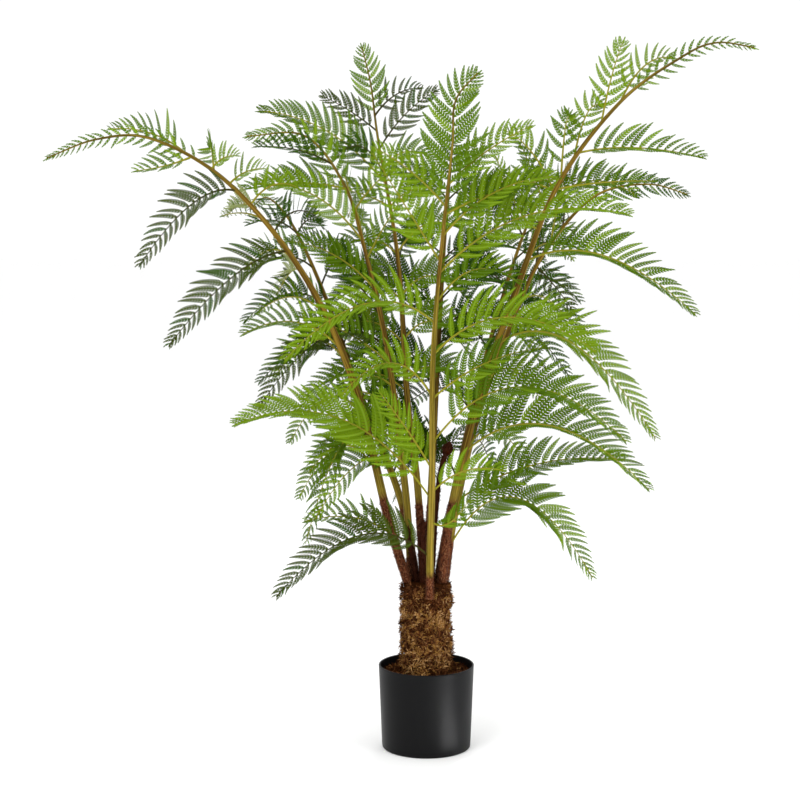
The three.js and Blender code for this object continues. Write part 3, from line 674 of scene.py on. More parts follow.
def grid_quads(rows, columns):
    """Quads between the rings of a grid whose columns run round and close on themselves."""
    r = np.arange(rows - 1)[:, None] * columns
    c = np.arange(columns)[None, :]
    n = (c + 1) % columns
    return np.stack([r + c, r + n, r + columns + n, r + columns + c], axis=-1).reshape(-1, 4)


def tube(centres, along, across, radii):
    """Rings round a path: centre + radius (across cos a + (along x across) sin a). `radii` has a row for
    each ring and a column for each angle. Gives points and quads, and an end face for each end."""
    rows, columns = radii.shape
    angle = whole_turn(columns)
    other = np.cross(along, across)
    ring = across[:, None] * np.cos(angle)[None, :, None] + other[:, None] * np.sin(angle)[None, :, None]
    points = centres[:, None] + ring * radii[..., None]
    ends = np.stack([np.arange(columns)[::-1], (rows - 1) * columns + np.arange(columns)])
    return points.reshape(-1, 3), [grid_quads(rows, columns), ends]


def lathe(profile, columns, relief=0.0):
    """A profile of (radius, height) turned about +Z: (r cos a, r sin a, z). Its first and last points lie
    on the axis and close it. `relief` is added to the radius, a row for each point between them."""
    profile = np.asarray(profile, float)
    inner = profile[1:-1]
    angle = whole_turn(columns)
    radius = inner[:, :1] + relief
    places = (radius * np.cos(angle), radius * np.sin(angle), inner[:, 1:])
    ring = np.stack(np.broadcast_arrays(*places), axis=-1)
    count = len(inner) * columns
    points = np.vstack([ring.reshape(-1, 3), (0, 0, profile[0, 1]), (0, 0, profile[-1, 1])])
    k = np.arange(columns)
    n = (k + 1) % columns
    low = np.stack([np.full(columns, count), n, k], axis=-1)
    top = (len(inner) - 1) * columns
    high = np.stack([np.full(columns, count + 1), top + k, top + n], axis=-1)
    return points, [grid_quads(len(inner), columns), low, high]


def make_piece(name, parts, materials, nodes, straight=None, share=None):
    """One smooth mesh object from parts of (points in millimetres, face arrays, material of each face
    array). A material is one number, or one number for each face. Where they are given, `straight` and
    `share` become attributes of the points."""
    points, sizes, loops, paint = [], [], [], []
    base = 0
    for vertices, face_sets, kinds in parts:
        points.append(vertices)
        for faces, kind in zip(face_sets, kinds):
            loops.append((faces + base).ravel())
            sizes.append(np.full(len(faces), faces.shape[1]))
            paint.append(np.broadcast_to(kind, len(faces)))
        base += len(vertices)
    points = np.vstack(points) * MM
    loops = np.concatenate(loops)
    sizes = np.concatenate(sizes)
    mesh = bpy.data.meshes.new(name)
    mesh.vertices.add(len(points))
    mesh.vertices.foreach_set("co", points.astype(np.float32).ravel())
    mesh.loops.add(len(loops))
    mesh.loops.foreach_set("vertex_index", loops.astype(np.int32))
    mesh.polygons.add(len(sizes))
    mesh.polygons.foreach_set("loop_start", np.concatenate([[0], np.cumsum(sizes)[:-1]]).astype(np.int32))
    mesh.polygons.foreach_set("material_index", np.concatenate(paint).astype(np.int32))
    mesh.polygons.foreach_set("use_smooth", np.full(len(sizes), True))
    for label, kind, field, values in (
        ("straight", "FLOAT_VECTOR", "vector", straight),
        ("share", "FLOAT", "value", share),
    ):
        if values is not None:
            attribute = mesh.attributes.new(label, kind, "POINT")
            attribute.data.foreach_set(field, values.astype(np.float32).ravel())
    mesh.update(calc_edges=True)
    if mesh.validate():
        raise RuntimeError(f"the mesh of {name} had faults")
    for material in materials:
        mesh.materials.append(material)
    piece = bpy.data.objects.new(name, mesh)
    bpy.context.scene.collection.objects.link(piece)
    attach(piece, "root")
    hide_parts(*nodes)


def wavy(angle, height, seed, waves, finest):
    """Rolling relief, mostly from -1 to 1, that closes round the axis: twice the mean of sines of whole
    turns and of heights, in which the fine ones weigh less."""
    rng = np.random.default_rng(seed)
    turns = rng.integers(-finest, finest + 1, waves)
    climbs = rng.uniform(-finest, finest, waves)
    phases = rng.uniform(0, 2 * np.pi, waves)
    sizes = 1 / (1 + np.hypot(turns, climbs) / 3)
    total = sum(
        size * np.sin(turn * angle + climb * height + phase)
        for size, turn, climb, phase in zip(sizes, turns, climbs, phases)
    )
    return total / sizes.sum() * 2


# Materials


def shader(name, roughness, colour=None, gloss=0.06):
    """A new material with its node tree and its Principled shader. `gloss` is its specular level."""
    material = bpy.data.materials.new(name)
    material.use_nodes = True
    tree = material.node_tree
    principled = tree.nodes["Principled BSDF"]
    principled.inputs["Roughness"].default_value = roughness
    principled.inputs["Specular IOR Level"].default_value = gloss
    if colour is not None:
        principled.inputs["Base Color"].default_value = colour
        material.diffuse_color = colour
    return material, tree, principled


def placed_coordinates(tree, source, scale):
    """Object coordinates, or the piece's own attribute `source`, stretched by three numbers."""
    if source == "Object":
        socket = tree.nodes.new("ShaderNodeTexCoord").outputs["Object"]
    else:
        node = tree.nodes.new("ShaderNodeAttribute")
        node.attribute_name = source
        socket = node.outputs["Vector"]
    mapping = tree.nodes.new("ShaderNodeMapping")
    mapping.inputs["Scale"].default_value = scale
    tree.links.new(socket, mapping.inputs["Vector"])
    return mapping.outputs["Vector"]


def noise(tree, vector, scale, detail=3.0):
    """Noise factor at the given coordinates."""
    node = tree.nodes.new("ShaderNodeTexNoise")
    node.inputs["Scale"].default_value = scale
    node.inputs["Detail"].default_value = detail
    tree.links.new(vector, node.inputs["Vector"])
    return node.outputs["Fac"]


def ramp(tree, factor, stops):
    """Colours at places from 0 to 1, blended by the factor."""
    node = tree.nodes.new("ShaderNodeValToRGB")
    elements = node.color_ramp.elements
    for _ in stops[2:]:
        elements.new(0.5)
    for element, (place, colour) in zip(elements, stops):
        element.position = place
        element.color = colour
    tree.links.new(factor, node.inputs["Fac"])
    return node.outputs["Color"]


def mixed(tree, factor, first, second):
    """Blend of two colour sockets."""
    node = tree.nodes.new("ShaderNodeMix")
    node.data_type = "RGBA"
    tree.links.new(factor, node.inputs["Factor"])
    tree.links.new(first, node.inputs["A"])
    tree.links.new(second, node.inputs["B"])
    return node.outputs["Result"]


def bumped(tree, principled, height, distance, strength=1.0):
    """Bump of the shader's normal from a height factor."""
    node = tree.nodes.new("ShaderNodeBump")
    node.inputs["Distance"].default_value = distance
    node.inputs["Strength"].default_value = strength
    tree.links.new(height, node.inputs["Height"])
    tree.links.new(node.outputs["Normal"], principled.inputs["Normal"])


def pot_material(settings):
    """Satin black plastic with faint cloudy wear and the fine grain of a moulding."""
    material, tree, principled = shader("pot_plastic", settings.roughness, settings.colour, gloss=0.11)
    drawn = placed_coordinates(tree, "Object", (1, 1, 0.3))
    low = settings.roughness - 0.05
    high = settings.roughness + 0.08
    stops = ((0.3, (low, low, low, 1)), (0.7, (high, high, high, 1)))
    tree.links.new(ramp(tree, noise(tree, drawn, scale=18), stops), principled.inputs["Roughness"])
    grain = noise(tree, placed_coordinates(tree, "Object", (1, 1, 1)), scale=900)
    bumped(tree, principled, grain, distance=0.0002, strength=0.4)
    return material


def moss_material(name, dark, light):
    """Packed fibre seen between the tufts: blotches of two browns and a rough bump."""
    material, tree, principled = shader(name, roughness=0.95, gloss=0.0)
    vector = placed_coordinates(tree, "Object", (1, 1, 1))
    colour = ramp(tree, noise(tree, vector, scale=160, detail=6), ((0.35, dark), (0.68, light)))
    tree.links.new(colour, principled.inputs["Base Color"])
    bumped(tree, principled, noise(tree, vector, scale=420, detail=6), distance=0.003)
    return material


def stalk_material(name, settings, bands):
    """Dark and light streaks that run along the stalk. Both change with the share of its length: furred
    brown, then yellow-green, then ochre, and olive towards the end. In the fur the streaks are flecks."""
    furred_to, yellow_to = bands
    material, tree, principled = shader(name, roughness=0.5, gloss=0.04)
    streaks = noise(tree, placed_coordinates(tree, "straight", (1, 1, 0.02)), scale=420, detail=2)
    flecks = noise(tree, placed_coordinates(tree, "straight", (1, 1, 0.3)), scale=420, detail=4)
    attribute = tree.nodes.new("ShaderNodeAttribute")
    attribute.attribute_name = "share"
    share = attribute.outputs["Fac"]
    colours = (
        (furred_to, settings.dark, settings.foot),
        (furred_to + FUR_FADES, settings.yellow_dark, settings.yellow),
        (yellow_to + YELLOW_FADES_FROM, settings.yellow_dark, settings.yellow),
        (yellow_to + YELLOW_FADES_TO, settings.brown, settings.ochre),
        (OLIVE_FROM, settings.brown, settings.ochre),
        (OLIVE_AT, settings.green, settings.olive),
    )
    dark = ramp(tree, share, [(place, colour) for place, colour, _ in colours])
    light = ramp(tree, share, [(place, colour) for place, _, colour in colours])
    black, white = (0, 0, 0, 1), (1, 1, 1, 1)
    blend = mixed(
        tree,
        ramp(tree, share, ((furred_to, black), (furred_to + FLECKS_FADE, white))),
        ramp(tree, flecks, ((0.38, black), (0.62, white))),
        ramp(tree, streaks, ((0.43, black), (0.6, white))),
    )
    tree.links.new(mixed(tree, blend, dark, light), principled.inputs["Base Color"])
    bumped(tree, principled, streaks, distance=0.0006)
    return material


def leaf_materials(settings):
    """Two plain finishes for each green: the comb of teeth and the paler strip along the middle."""
    found = []
    paler, lift = 1.2, 0.01
    for label in ("fresh", "leaf", "deep", "olive", "pale"):
        colour = getattr(settings, label)
        strip = [min(1.0, part * paler + lift) for part in colour[:3]] + [1.0]
        for kind, value in (("teeth", colour), ("strip", strip)):
            found.append(shader(f"{label}_{kind}", settings.roughness, value, LEAF_GLOSS)[0])
    return found


# Settings


def colour_setting(label, note, rgb):
    """A colour property whose default is given in screen numbers."""
    return bpy.props.FloatVectorProperty(
        name=label, description=note, size=4, subtype="COLOR", min=0, max=1, default=linear(*rgb)
    )


def length_setting(label, note, default):
    """A length property in metres."""
    return bpy.props.FloatProperty(
        name=label, description=note, default=default, unit="LENGTH", subtype="DISTANCE"
    )


POT_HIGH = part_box("pot")[1]
FILL_LOW, FILL_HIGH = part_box("pot_fill")
TRUNK_LOW, TRUNK_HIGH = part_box("trunk")


class PotSettings(bpy.types.PropertyGroup):
    """Sizes and finish of the pot."""

    rim_radius: length_setting("Rim radius", "Outside radius at the top", POT_HIGH.x)
    base_radius: length_setting("Base radius", "Outside radius at the bottom", 0.079)
    height: length_setting("Height", "Height of the pot", POT_HIGH.z)
    wall: length_setting("Wall", "Thickness of the wall", 0.003)
    colour: colour_setting("Colour", "Colour of the plastic", (11, 11, 12))
    roughness: bpy.props.FloatProperty(name="Roughness", description="Satin of the plastic", default=0.42)


class MossSettings(bpy.types.PropertyGroup):
    """Fibres of the trunk and of the fill."""

    trunk_tufts: bpy.props.IntProperty(name="Trunk tufts", description="Tufts on the trunk", default=1300)
    fill_tufts: bpy.props.IntProperty(name="Fill tufts", description="Tufts on the fill", default=420)
    tuft_fibres: bpy.props.IntProperty(name="Tuft fibres", description="Fibres in a tuft", default=13)
    fibre_length: length_setting("Fibre length", "Length of a fibre", 0.0085)
    fibre_width: length_setting("Fibre width", "Width of a fibre", 0.0019)
    soot: colour_setting("Soot", "Depths between the tufts", (40, 20, 8))
    dark: colour_setting("Dark", "Darkest fibre", (64, 33, 13))
    brown: colour_setting("Brown", "Middle fibre", (106, 67, 38))
    ochre: colour_setting("Ochre", "Yellow fibre", (148, 107, 54))
    tan: colour_setting("Tan", "Light fibre", (188, 146, 96))


class StalkSettings(bpy.types.PropertyGroup):
    """Colours of the stalks, their furred feet and the furled shoots."""

    foot: colour_setting("Foot", "Fur at the foot", (116, 66, 42))
    dark: colour_setting("Dark", "Dark fleck at the foot", (44, 20, 10))
    fur: colour_setting("Fur", "Light hair at the foot", (158, 108, 76))
    brown: colour_setting("Brown", "Dark streak higher up", (80, 58, 18))
    ochre: colour_setting("Ochre", "Light streak", (134, 108, 38))
    yellow: colour_setting("Yellow", "Light streak above the foot", (146, 126, 48))
    yellow_dark: colour_setting("Dark yellow", "Dark streak above the foot", (98, 84, 24))
    olive: colour_setting("Olive", "Light streak near the end", (126, 112, 40))
    green: colour_setting("Green", "Dark streak near the end", (78, 66, 20))
    shoot: colour_setting("Shoot", "Fur of the furled shoots", (66, 34, 22))
    rib: colour_setting("Rib", "Middle rib of a light branch", (136, 132, 34))
    # This rib colour is painted shade: it goes on branches whose leaflets carry the painted shade of the
    # deep and olive greens
    dark_rib: colour_setting("Dark rib", "Middle rib of a dark branch", (54, 52, 18))


class LeafSettings(bpy.types.PropertyGroup):
    """Sizes and greens of the leaflets."""

    pitch: length_setting("Pitch", "Distance between leaflets along a rib", 0.0125)
    tooth_pitch: length_setting("Tooth pitch", "Distance between the teeth of a leaflet", 0.0052)
    forward: bpy.props.FloatProperty(
        name="Forward", description="How far a leaflet leans towards the tip",
        default=math.radians(32), subtype="ANGLE",
    )
    # The fresh green is partly painted light on lit leaflets, the deep and olive greens are partly painted
    # shade on shaded and hanging leaflets, and the pale green is a painted glow of backlit leaflets
    fresh: colour_setting("Fresh", "Bright leaflets", (100, 128, 18))
    leaf: colour_setting("Leaf", "Middle green leaflets", (76, 104, 12))
    deep: colour_setting("Deep", "Dark leaflets", (44, 72, 8))
    olive: colour_setting("Olive", "Shaded leaflets", (54, 68, 14))
    pale: colour_setting("Pale", "Backlit leaflets", (132, 142, 88))
    roughness: bpy.props.FloatProperty(name="Roughness", description="Satin of the leaflets", default=0.55)


class StageSettings(bpy.types.PropertyGroup):
    """Floor, light and camera."""

    floor: colour_setting("Floor", "Colour of the floor", (250, 250, 250))
    sky: bpy.props.FloatProperty(name="Sky", description="Strength of the even light", default=1.05)
    key: bpy.props.FloatProperty(name="Key", description="Power of the main light in watts", default=46)
    fill: bpy.props.FloatProperty(name="Fill", description="Power of the side lights in watts", default=22)
    strip: bpy.props.FloatProperty(name="Strip", description="Power of the light by the pot", default=1.8)
    lens: bpy.props.FloatProperty(name="Lens", description="Focal length in millimetres", default=76.5)
    pitch: bpy.props.FloatProperty(
        name="Pitch", description="How far the camera looks down", default=math.radians(5.6), subtype="ANGLE"
    )


# Fibres and leaflets


def fibres(roots, headings, normals, lengths, widths, curl):
    """Curled ribbons of two quads and a triangle: root + heading L t + curl L t^2, with half the width
    (1 - 0.8 t^2) to either side across heading and normal, and no width at the end."""
    t = np.array((0.0, 0.35, 0.7, 1.0))
    across = unit(np.cross(headings, normals))
    middle = (
        roots[:, None]
        + headings[:, None] * (lengths[:, None] * t)[..., None]
        + curl[:, None] * (lengths[:, None] * t**2)[..., None]
    )
    half = widths[:, None] / 2 * (1 - 0.8 * t**2)
    left = middle - across[:, None] * half[..., None]
    right = middle + across[:, None] * half[..., None]
    points = np.concatenate([left, right[:, :3]], axis=1)
    quads = np.array(((0, 4, 5, 1), (1, 5, 6, 2)))
    tips = np.array(((2, 6, 3),))
    base = np.arange(len(roots))[:, None, None] * points.shape[1]
    return points.reshape(-1, 3), [(quads + base).reshape(-1, 4), (tips + base).reshape(-1, 3)]


def moss_tufts(name, node, centres, normals, tones, rng):
    """A piece of star-shaped tufts: curled fibres leave each centre, spread from its plane towards its
    normal. A fibre starts one tone darker than it ends, and two in seven are one tone off their tuft's."""
    settings = bpy.context.scene.fern_moss
    count = settings.tuft_fibres
    normal = np.repeat(normals, count, axis=0)
    sideways = square_to(rng.normal(0, 1, normal.shape), normal)
    heading = unit(sideways + normal * rng.uniform(*FIBRE_RISE, (len(normal), 1)))
    length = rng.uniform(*FIBRE_LENGTHS, len(normal)) * settings.fibre_length / MM
    width = rng.uniform(*FIBRE_WIDTHS, len(normal)) * settings.fibre_width / MM
    curl = rng.normal(0, FIBRE_CURL, normal.shape) - normal * FIBRE_DROOP
    facing = unit(normal + rng.normal(0, FIBRE_TWIST, normal.shape))
    points, faces = fibres(np.repeat(centres, count, axis=0), heading, facing, length, width, curl)
    colours = [settings.soot, settings.dark, settings.brown, settings.ochre, settings.tan]
    finishes = [
        shader(f"{name}_{tone}", roughness=0.9, colour=colour, gloss=0.03)[0]
        for tone, colour in enumerate(colours)
    ]
    tone = np.repeat(tones, count) + rng.choice(FIBRE_TONES, len(normal))
    tone = np.clip(tone, 1, len(colours) - 1)
    lower = np.stack([tone - 1, tone], axis=-1).ravel()
    make_piece(name, [(points, faces, (lower, tone))], finishes, [node])


def moss_core(name, node, points, faces):
    """A piece of packed moss, the ground that the tufts stand on."""
    settings = bpy.context.scene.fern_moss
    finish = moss_material(name, settings.soot, settings.dark)
    make_piece(name, [(points, faces, (0, 0, 0))], [finish], [node])


def comb_outline(teeth):
    """One comb leaflet with that many teeth to a side, as (share along, share across) points.

    The half width is 1 - s^2.1, halved at the root and whole from 0.12 on. A strip along the middle takes
    0.17 + 0.4 s^3 of it and 0.02 more, and each tooth is an oblong of five points that leans forward from
    the strip's edge."""
    pitch = COMB_SPAN / teeth
    k = np.arange(teeth)
    start = COMB_START + pitch * k
    stop = start + pitch * TOOTH_SHARE
    lean = pitch * TOOTH_LEAN

    def half(s):
        return (1 - np.clip(s, 0, 1) ** 2.1) * (0.5 + 0.5 * smoothstep(s, 0, 0.12))

    def strip(s):
        return half(s) * (0.17 + 0.4 * s**3) + 0.02

    outer = ((stop, TOOTH_FRONT), ((start + stop) / 2, TOOTH_POINT), (start, TOOTH_BACK))
    corners = [np.stack([place, strip(place)], axis=-1) for place in (start, stop)]
    corners += [np.stack([place + lean * on, half(place) * out], axis=-1) for place, (on, out) in outer]
    tooth = np.stack(corners, axis=1).reshape(-1, 2)
    points = np.vstack([tooth, tooth * (1, -1), (1.0, 0.0)])
    left, right = 5 * k, 5 * teeth + 5 * k
    own = left[:, None] + np.arange(5)
    pentagons = np.vstack([own, own[:, ::-1] + 5 * teeth])
    quads = np.vstack([
        np.stack([right, right + 1, left + 1, left], axis=-1),
        np.stack([right[:-1] + 1, right[1:], left[1:], left[:-1] + 1], axis=-1),
    ])
    return points, pentagons, quads, np.array(((right[-1] + 1, 10 * teeth, left[-1] + 1),))


def leaflets(rows, tooth_pitch):
    """Comb leaflets at many roots. The middle line starts along `d` and turns by `turn` towards `a` in the
    blade's plane, so that it lies L (s - turn^2 s^3 / 6) along d and L (turn s^2 / 2 - turn^3 s^4 / 24)
    along a, and it sinks by `sink` s^2. The teeth fold down along `n` from the strip by `fold`."""
    parts = []
    counts = np.clip(np.round(rows["length"] / tooth_pitch), 3, 14).astype(int)
    for teeth in np.unique(counts):
        own = {key: values[counts == teeth][:, None] for key, values in rows.items()}
        outline, pentagons, quads, tip = comb_outline(int(teeth))
        s, w = outline[:, 0], outline[:, 1]
        turn, length = own["turn"], own["length"]
        spread = w * own["half"] * np.cos(own["fold"])
        forward = length * (s - turn**2 * s**3 / 6) - spread * np.sin(turn * s)
        sideways = length * (turn * s**2 / 2 - turn**3 * s**4 / 24) + spread * np.cos(turn * s)
        folded = np.abs(w) * own["half"] * np.sin(own["fold"])
        points = (
            own["root"]
            + own["d"] * forward[..., None]
            + own["a"] * sideways[..., None]
            - own["n"] * folded[..., None]
            - own["sink"] * (s**2)[:, None]
        )
        count = len(turn)
        base = np.arange(count)[:, None, None] * len(outline)
        sets = [(faces + base).reshape(-1, faces.shape[1]) for faces in (pentagons, quads, tip)]
        tone = own["tone"][:, 0] * 2
        kinds = [np.repeat(tone, len(pentagons)), np.repeat(tone + 1, len(quads)), tone + 1]
        parts.append((points.reshape(-1, 3), sets, kinds))
    return parts


def leaflet_rows(blade, settings, rng):
    """Roots, directions and sizes of the leaflets of one blade: a row on either side and one at the end."""
    leafy = blade["length"] * (1 - blade["bare"])
    count = int(np.clip(round(leafy * MM / settings.pitch), *LEAFLET_COUNTS))
    side = np.repeat((1, -1), count)
    place = np.tile(np.arange(count) + 0.5, 2) + STAGGER * side
    v = np.append(1 - (1 - place / (count + ROOM_AT_END)) ** CROWDING, END_LEAFLET_AT)
    side = np.append(side, 0)
    u = blade["bare"] + (1 - blade["bare"]) * v
    along = blade["direction"](u)
    face = square_to(blade["face"], along)
    left = np.cross(face, along) * side[:, None]
    forward = settings.forward + LEAN_GAIN * v**2 + rng.normal(0, SPREAD["lean"], len(v))
    forward[-1] = np.pi / 2
    lift = blade["lift"] * (1 - along[:, 2:] ** 2)
    raised = left * np.cos(lift) + face * np.sin(lift)
    d = raised * np.cos(forward)[:, None] + along * np.sin(forward)[:, None]
    roll = rng.normal(0, SPREAD["roll"], len(v))[:, None]
    level = square_to(face, d)
    n = level * np.cos(roll) + np.cross(level, d) * np.sin(roll)
    a = np.cross(n, d)
    widest = LEAFLET_ROOT_SHARE + (1 - LEAFLET_ROOT_SHARE) * smoothstep(v, 0, LEAFLET_FULL_AT)
    longest = (LEAFLET_BASE_LENGTH + LEAFLET_SHARE * blade["length"]) * blade["scale"]
    length = longest * widest * (1 - v) ** BLADE_NARROWS + LEAFLET_TIP_LENGTH
    hanging = left[:, 2] < HANGING_BELOW
    length *= rng.normal(1, SPREAD["length"], len(v)) * np.where(hanging, HANGING_LENGTH, 1.0)
    length[-1] = (END_LEAFLET_SHARE * blade["length"] + END_LEAFLET_LENGTH) * (1 - blade["bare"])
    turn = rng.normal(LEAFLET_TURN, SPREAD["turn"], len(v)) * np.sign((a * along).sum(-1))
    turn[-1] = 0
    droop = rng.normal(LEAFLET_DROOP, SPREAD["droop"], len(v)) * length
    sag = LEAFLET_SAG * length
    fresher = rng.random(len(v)) < FRESHER_SHARE
    fold = rng.normal(LEAFLET_FOLD, SPREAD["fold"], len(v))
    return dict(
        root=blade["point"](u), d=d, a=a, n=n, length=length, half=HALF_WIDTH + HALF_WIDTH_SHARE * length,
        turn=turn, sink=n * droop[:, None] + UP * sag[:, None], fold=fold,
        tone=np.where(fresher, np.maximum(blade["green"] - 1, LIT_FRESH), blade["green"]),
    )


def rib(blade):
    """Thin tapering tube along a blade's middle, square to its path and turned with its face."""
    u = np.linspace(0, 1, 22)
    along = blade["direction"](u)
    across = square_to(blade["face"], along)
    radii = RIB_SWELL * (RIB_RADIUS + (RIB_TIP_RADIUS - RIB_RADIUS) * u)
    return tube(blade["point"](u), along, across, np.repeat(radii[:, None], 6, axis=1))


def stem_tube(line, share, radii):
    """Tube along a stalk or stem, square to it and level at the foot."""
    along = direction_at(line, share)
    along[0] = UP
    across = square_to(STEM_SIDE, along)
    return tube(point_at(line, share), along, across, radii)


def shoot_radius(shoot, share):
    """Stem that narrows by a fifth, then a knob: its radius times the sine from 0.16 to 0.95 of half a
    turn."""
    knob_from = 1 - KNOB_LENGTH * shoot["knob"] / shoot["line"][1][-1]
    place = np.clip((share - knob_from) / (1 - knob_from), 0, 1)
    knob = shoot["knob"] * np.sin(np.pi * (KNOB_WAVE_FROM + KNOB_WAVE_SPAN * place))
    return np.where(share < knob_from, shoot["radius"] * (1 - SHOOT_TAPER * share), knob)


def fur(stem, radius, shares, count, length, seed):
    """Short hairs on a stem: they leave its surface between the two shares, lie up along it and spread a
    little. Gives the arrays that `fibres` takes."""
    rng = np.random.default_rng(seed)
    share = rng.uniform(*shares, count)
    along = direction_at(stem["line"], share)
    across = square_to(STEM_SIDE, along)
    angle = rng.uniform(0, 2 * np.pi, count)[:, None]
    normal = across * np.cos(angle) + np.cross(along, across) * np.sin(angle)
    root = point_at(stem["line"], share) + normal * radius(stem, share)[:, None] * HAIR_ROOT
    stand = normal * rng.uniform(*HAIR_STAND, (count, 1))
    heading = unit(along * HAIR_ALONG + stand + rng.normal(0, HAIR_SPREAD, (count, 3)))
    lengths = rng.uniform(*HAIR_LENGTHS, count) * length
    return root, heading, normal, lengths, np.full(count, HAIR_WIDTH), normal * HAIR_CURL


# Parts of the stage


def area_lamp(name, shape, width, power):
    """A new area lamp."""
    lamp = bpy.data.lights.new(name, "AREA")
    lamp.shape = shape
    lamp.size = width
    lamp.energy = power
    return lamp


def stage_object(name, data, place, turn=(0, 0, 0)):
    """A new object of the stage, linked to the scene."""
    thing = bpy.data.objects.new(name, data)
    thing.location = place
    thing.rotation_euler = turn
    bpy.context.scene.collection.objects.link(thing)
    return thing


# Operators


class FERN_OT_pot(bpy.types.Operator):
    """Pot: a thin tapering wall turned about the axis, its rim rounded and its base edge eased"""

    bl_idname = "fern.pot"
    bl_label = "Pot"

    def execute(self, context):
        settings = context.scene.fern_pot
        rim, base = settings.rim_radius / MM, settings.base_radius / MM
        height, wall = settings.height / MM, settings.wall / MM
        ease, lip = POT_EDGE, wall / 2
        edge = np.linspace(-np.pi / 2, 0, 6)
        over = np.linspace(0, np.pi, 7)
        heights = np.linspace(ease + 4, height - lip - 1, 14)
        slope = (rim - base) / height
        underside = [(0, POT_RAISE), (base - POT_RING - POT_SLOPE, POT_RAISE), (base - POT_RING, 0)]
        underside += [(base - ease + ease * math.cos(a), ease + ease * math.sin(a)) for a in edge]
        outside = [(base + slope * z, z) for z in heights]
        outside += [(rim - lip + lip * math.cos(a), height - lip + lip * math.sin(a)) for a in over]
        inside = [(base - wall + slope * z, z) for z in heights[::-1]]
        inside += [(base - wall - 3, wall + 0.4), (base - wall - POT_CORNER, wall), (0, wall)]
        points, faces = lathe([*underside, *outside, *inside], POT_SIDES)
        make_piece(
            "pot_shell", [(points, faces, (0, 0, 0))], [pot_material(settings)], ["pot"]
        )
        return {"FINISHED"}


class FERN_OT_fill(bpy.types.Operator):
    """Fill: the cast plug with a lumpy mossy top, and loose fibres lying on it"""

    bl_idname = "fern.fill"
    bl_label = "Fill"

    def execute(self, context):
        edge = FILL_HIGH.x / MM - FILL_GAP
        top, bottom = FILL_HIGH.z / MM, FILL_LOW.z / MM
        radius = np.linspace(edge, FILL_MIDDLE, FILL_RINGS)
        profile = [(0, bottom), (edge - FILL_TAPER, bottom), *[(r, top) for r in radius], (0, top)]
        points, faces = lathe(profile, FILL_SIDES)
        angle, inward = whole_turn(FILL_SIDES)[None, :], radius[:, None] / FILL_LUMP_LENGTH
        lumps = FILL_LUMP * wavy(angle, inward, SEEDS["fill_lumps"], waves=60, finest=9)
        points[FILL_SIDES : FILL_SIDES * (FILL_RINGS + 1), 2] += lumps.ravel()
        moss_core("moss_bed", "pot_fill", points, faces)
        rng = np.random.default_rng(SEEDS["fill_tufts"])
        count = context.scene.fern_moss.fill_tufts
        around = rng.uniform(0, 2 * np.pi, count)
        out = np.sqrt(rng.uniform((FILL_TUFTS_FROM / edge) ** 2, FILL_TUFTS_TO, count)) * edge
        height = top + rng.uniform(*FILL_TUFT_HEIGHTS, count)
        centres = np.stack([out * np.cos(around), out * np.sin(around), height], -1)
        normals = unit(UP + rng.normal(0, FILL_TUFT_TILT, centres.shape))
        tones = rng.choice((1, 2, 3, 4), count, p=FILL_TONES)
        moss_tufts("moss_bed_tufts", "pot_fill", centres, normals, tones, rng)
        return {"FINISHED"}


class FERN_OT_trunk(bpy.types.Operator):
    """Trunk: a lumpy post cut flat at both ends, with tufts of curled fibre set round it in a spiral"""

    bl_idname = "fern.trunk"
    bl_label = "Trunk"

    def execute(self, context):
        bottom, top = TRUNK_LOW.z / MM, TRUNK_HIGH.z / MM
        heights = np.linspace(bottom, top - TRUNK_CUT_DOWN, TRUNK_RINGS)
        profile = [(0, bottom), *[(TRUNK_RADIUS, z) for z in heights]]
        profile += [(TRUNK_RADIUS - TRUNK_CUT_IN, top), (0, top)]
        angle, climb = whole_turn(TRUNK_SIDES)[None, :], heights[:, None] / TRUNK_LUMP_LENGTH
        lumps = wavy(angle, climb, SEEDS["trunk_lumps"], waves=90, finest=10) * TRUNK_LUMP
        relief = np.vstack([lumps, np.zeros((1, TRUNK_SIDES))])
        points, faces = lathe(profile, TRUNK_SIDES, relief)
        moss_core("trunk_core", "trunk", points, faces)
        rng = np.random.default_rng(SEEDS["trunk_tufts"])
        count = context.scene.fern_moss.trunk_tufts
        shift = rng.uniform(-TUFT_SHIFT_ROUND, TUFT_SHIFT_ROUND, count)
        around = np.arange(count) * GOLDEN_ANGLE % (2 * np.pi) + shift
        height = np.linspace(bottom + TUFT_SHIFT_UP, top - TRUNK_CUT_DOWN, count)
        height = height + rng.uniform(-TUFT_SHIFT_UP, TUFT_SHIFT_UP, count)
        normal = np.stack([np.cos(around), np.sin(around), np.zeros(count)], -1)
        clumps = rng.uniform((0, bottom), (2 * np.pi, top), (CLUMPS, 2))
        turn = np.abs(around[:, None] - clumps[:, 0])
        turn = np.minimum(turn, 2 * np.pi - turn)
        apart = np.hypot(TRUNK_RADIUS * turn, height[:, None] - clumps[:, 1])
        swell = CLUMP_STAND * np.exp(-((apart / CLUMP_SPREAD) ** 2)).max(axis=1)
        stand = swell + rng.uniform(-TUFT_DEPTH, 0, count)
        centres = normal * (TRUNK_RADIUS + stand)[:, None] + UP * height[:, None]
        patch = wavy(around, height / TRUNK_LUMP_LENGTH, SEEDS["trunk_patches"], waves=60, finest=6)
        patch += rng.normal(0, PATCH_SPREAD, count)
        patch -= TOP_DARKER * smoothstep(height, top - TOP_DARK_FROM, top - TOP_DARK_AT)
        normals = unit(normal + rng.normal(0, TUFT_TILT, normal.shape))
        tones = np.digitize(patch, PATCH_TONES) + 1
        moss_tufts("trunk_tufts", "trunk", centres, normals, tones, rng)
        return {"FINISHED"}


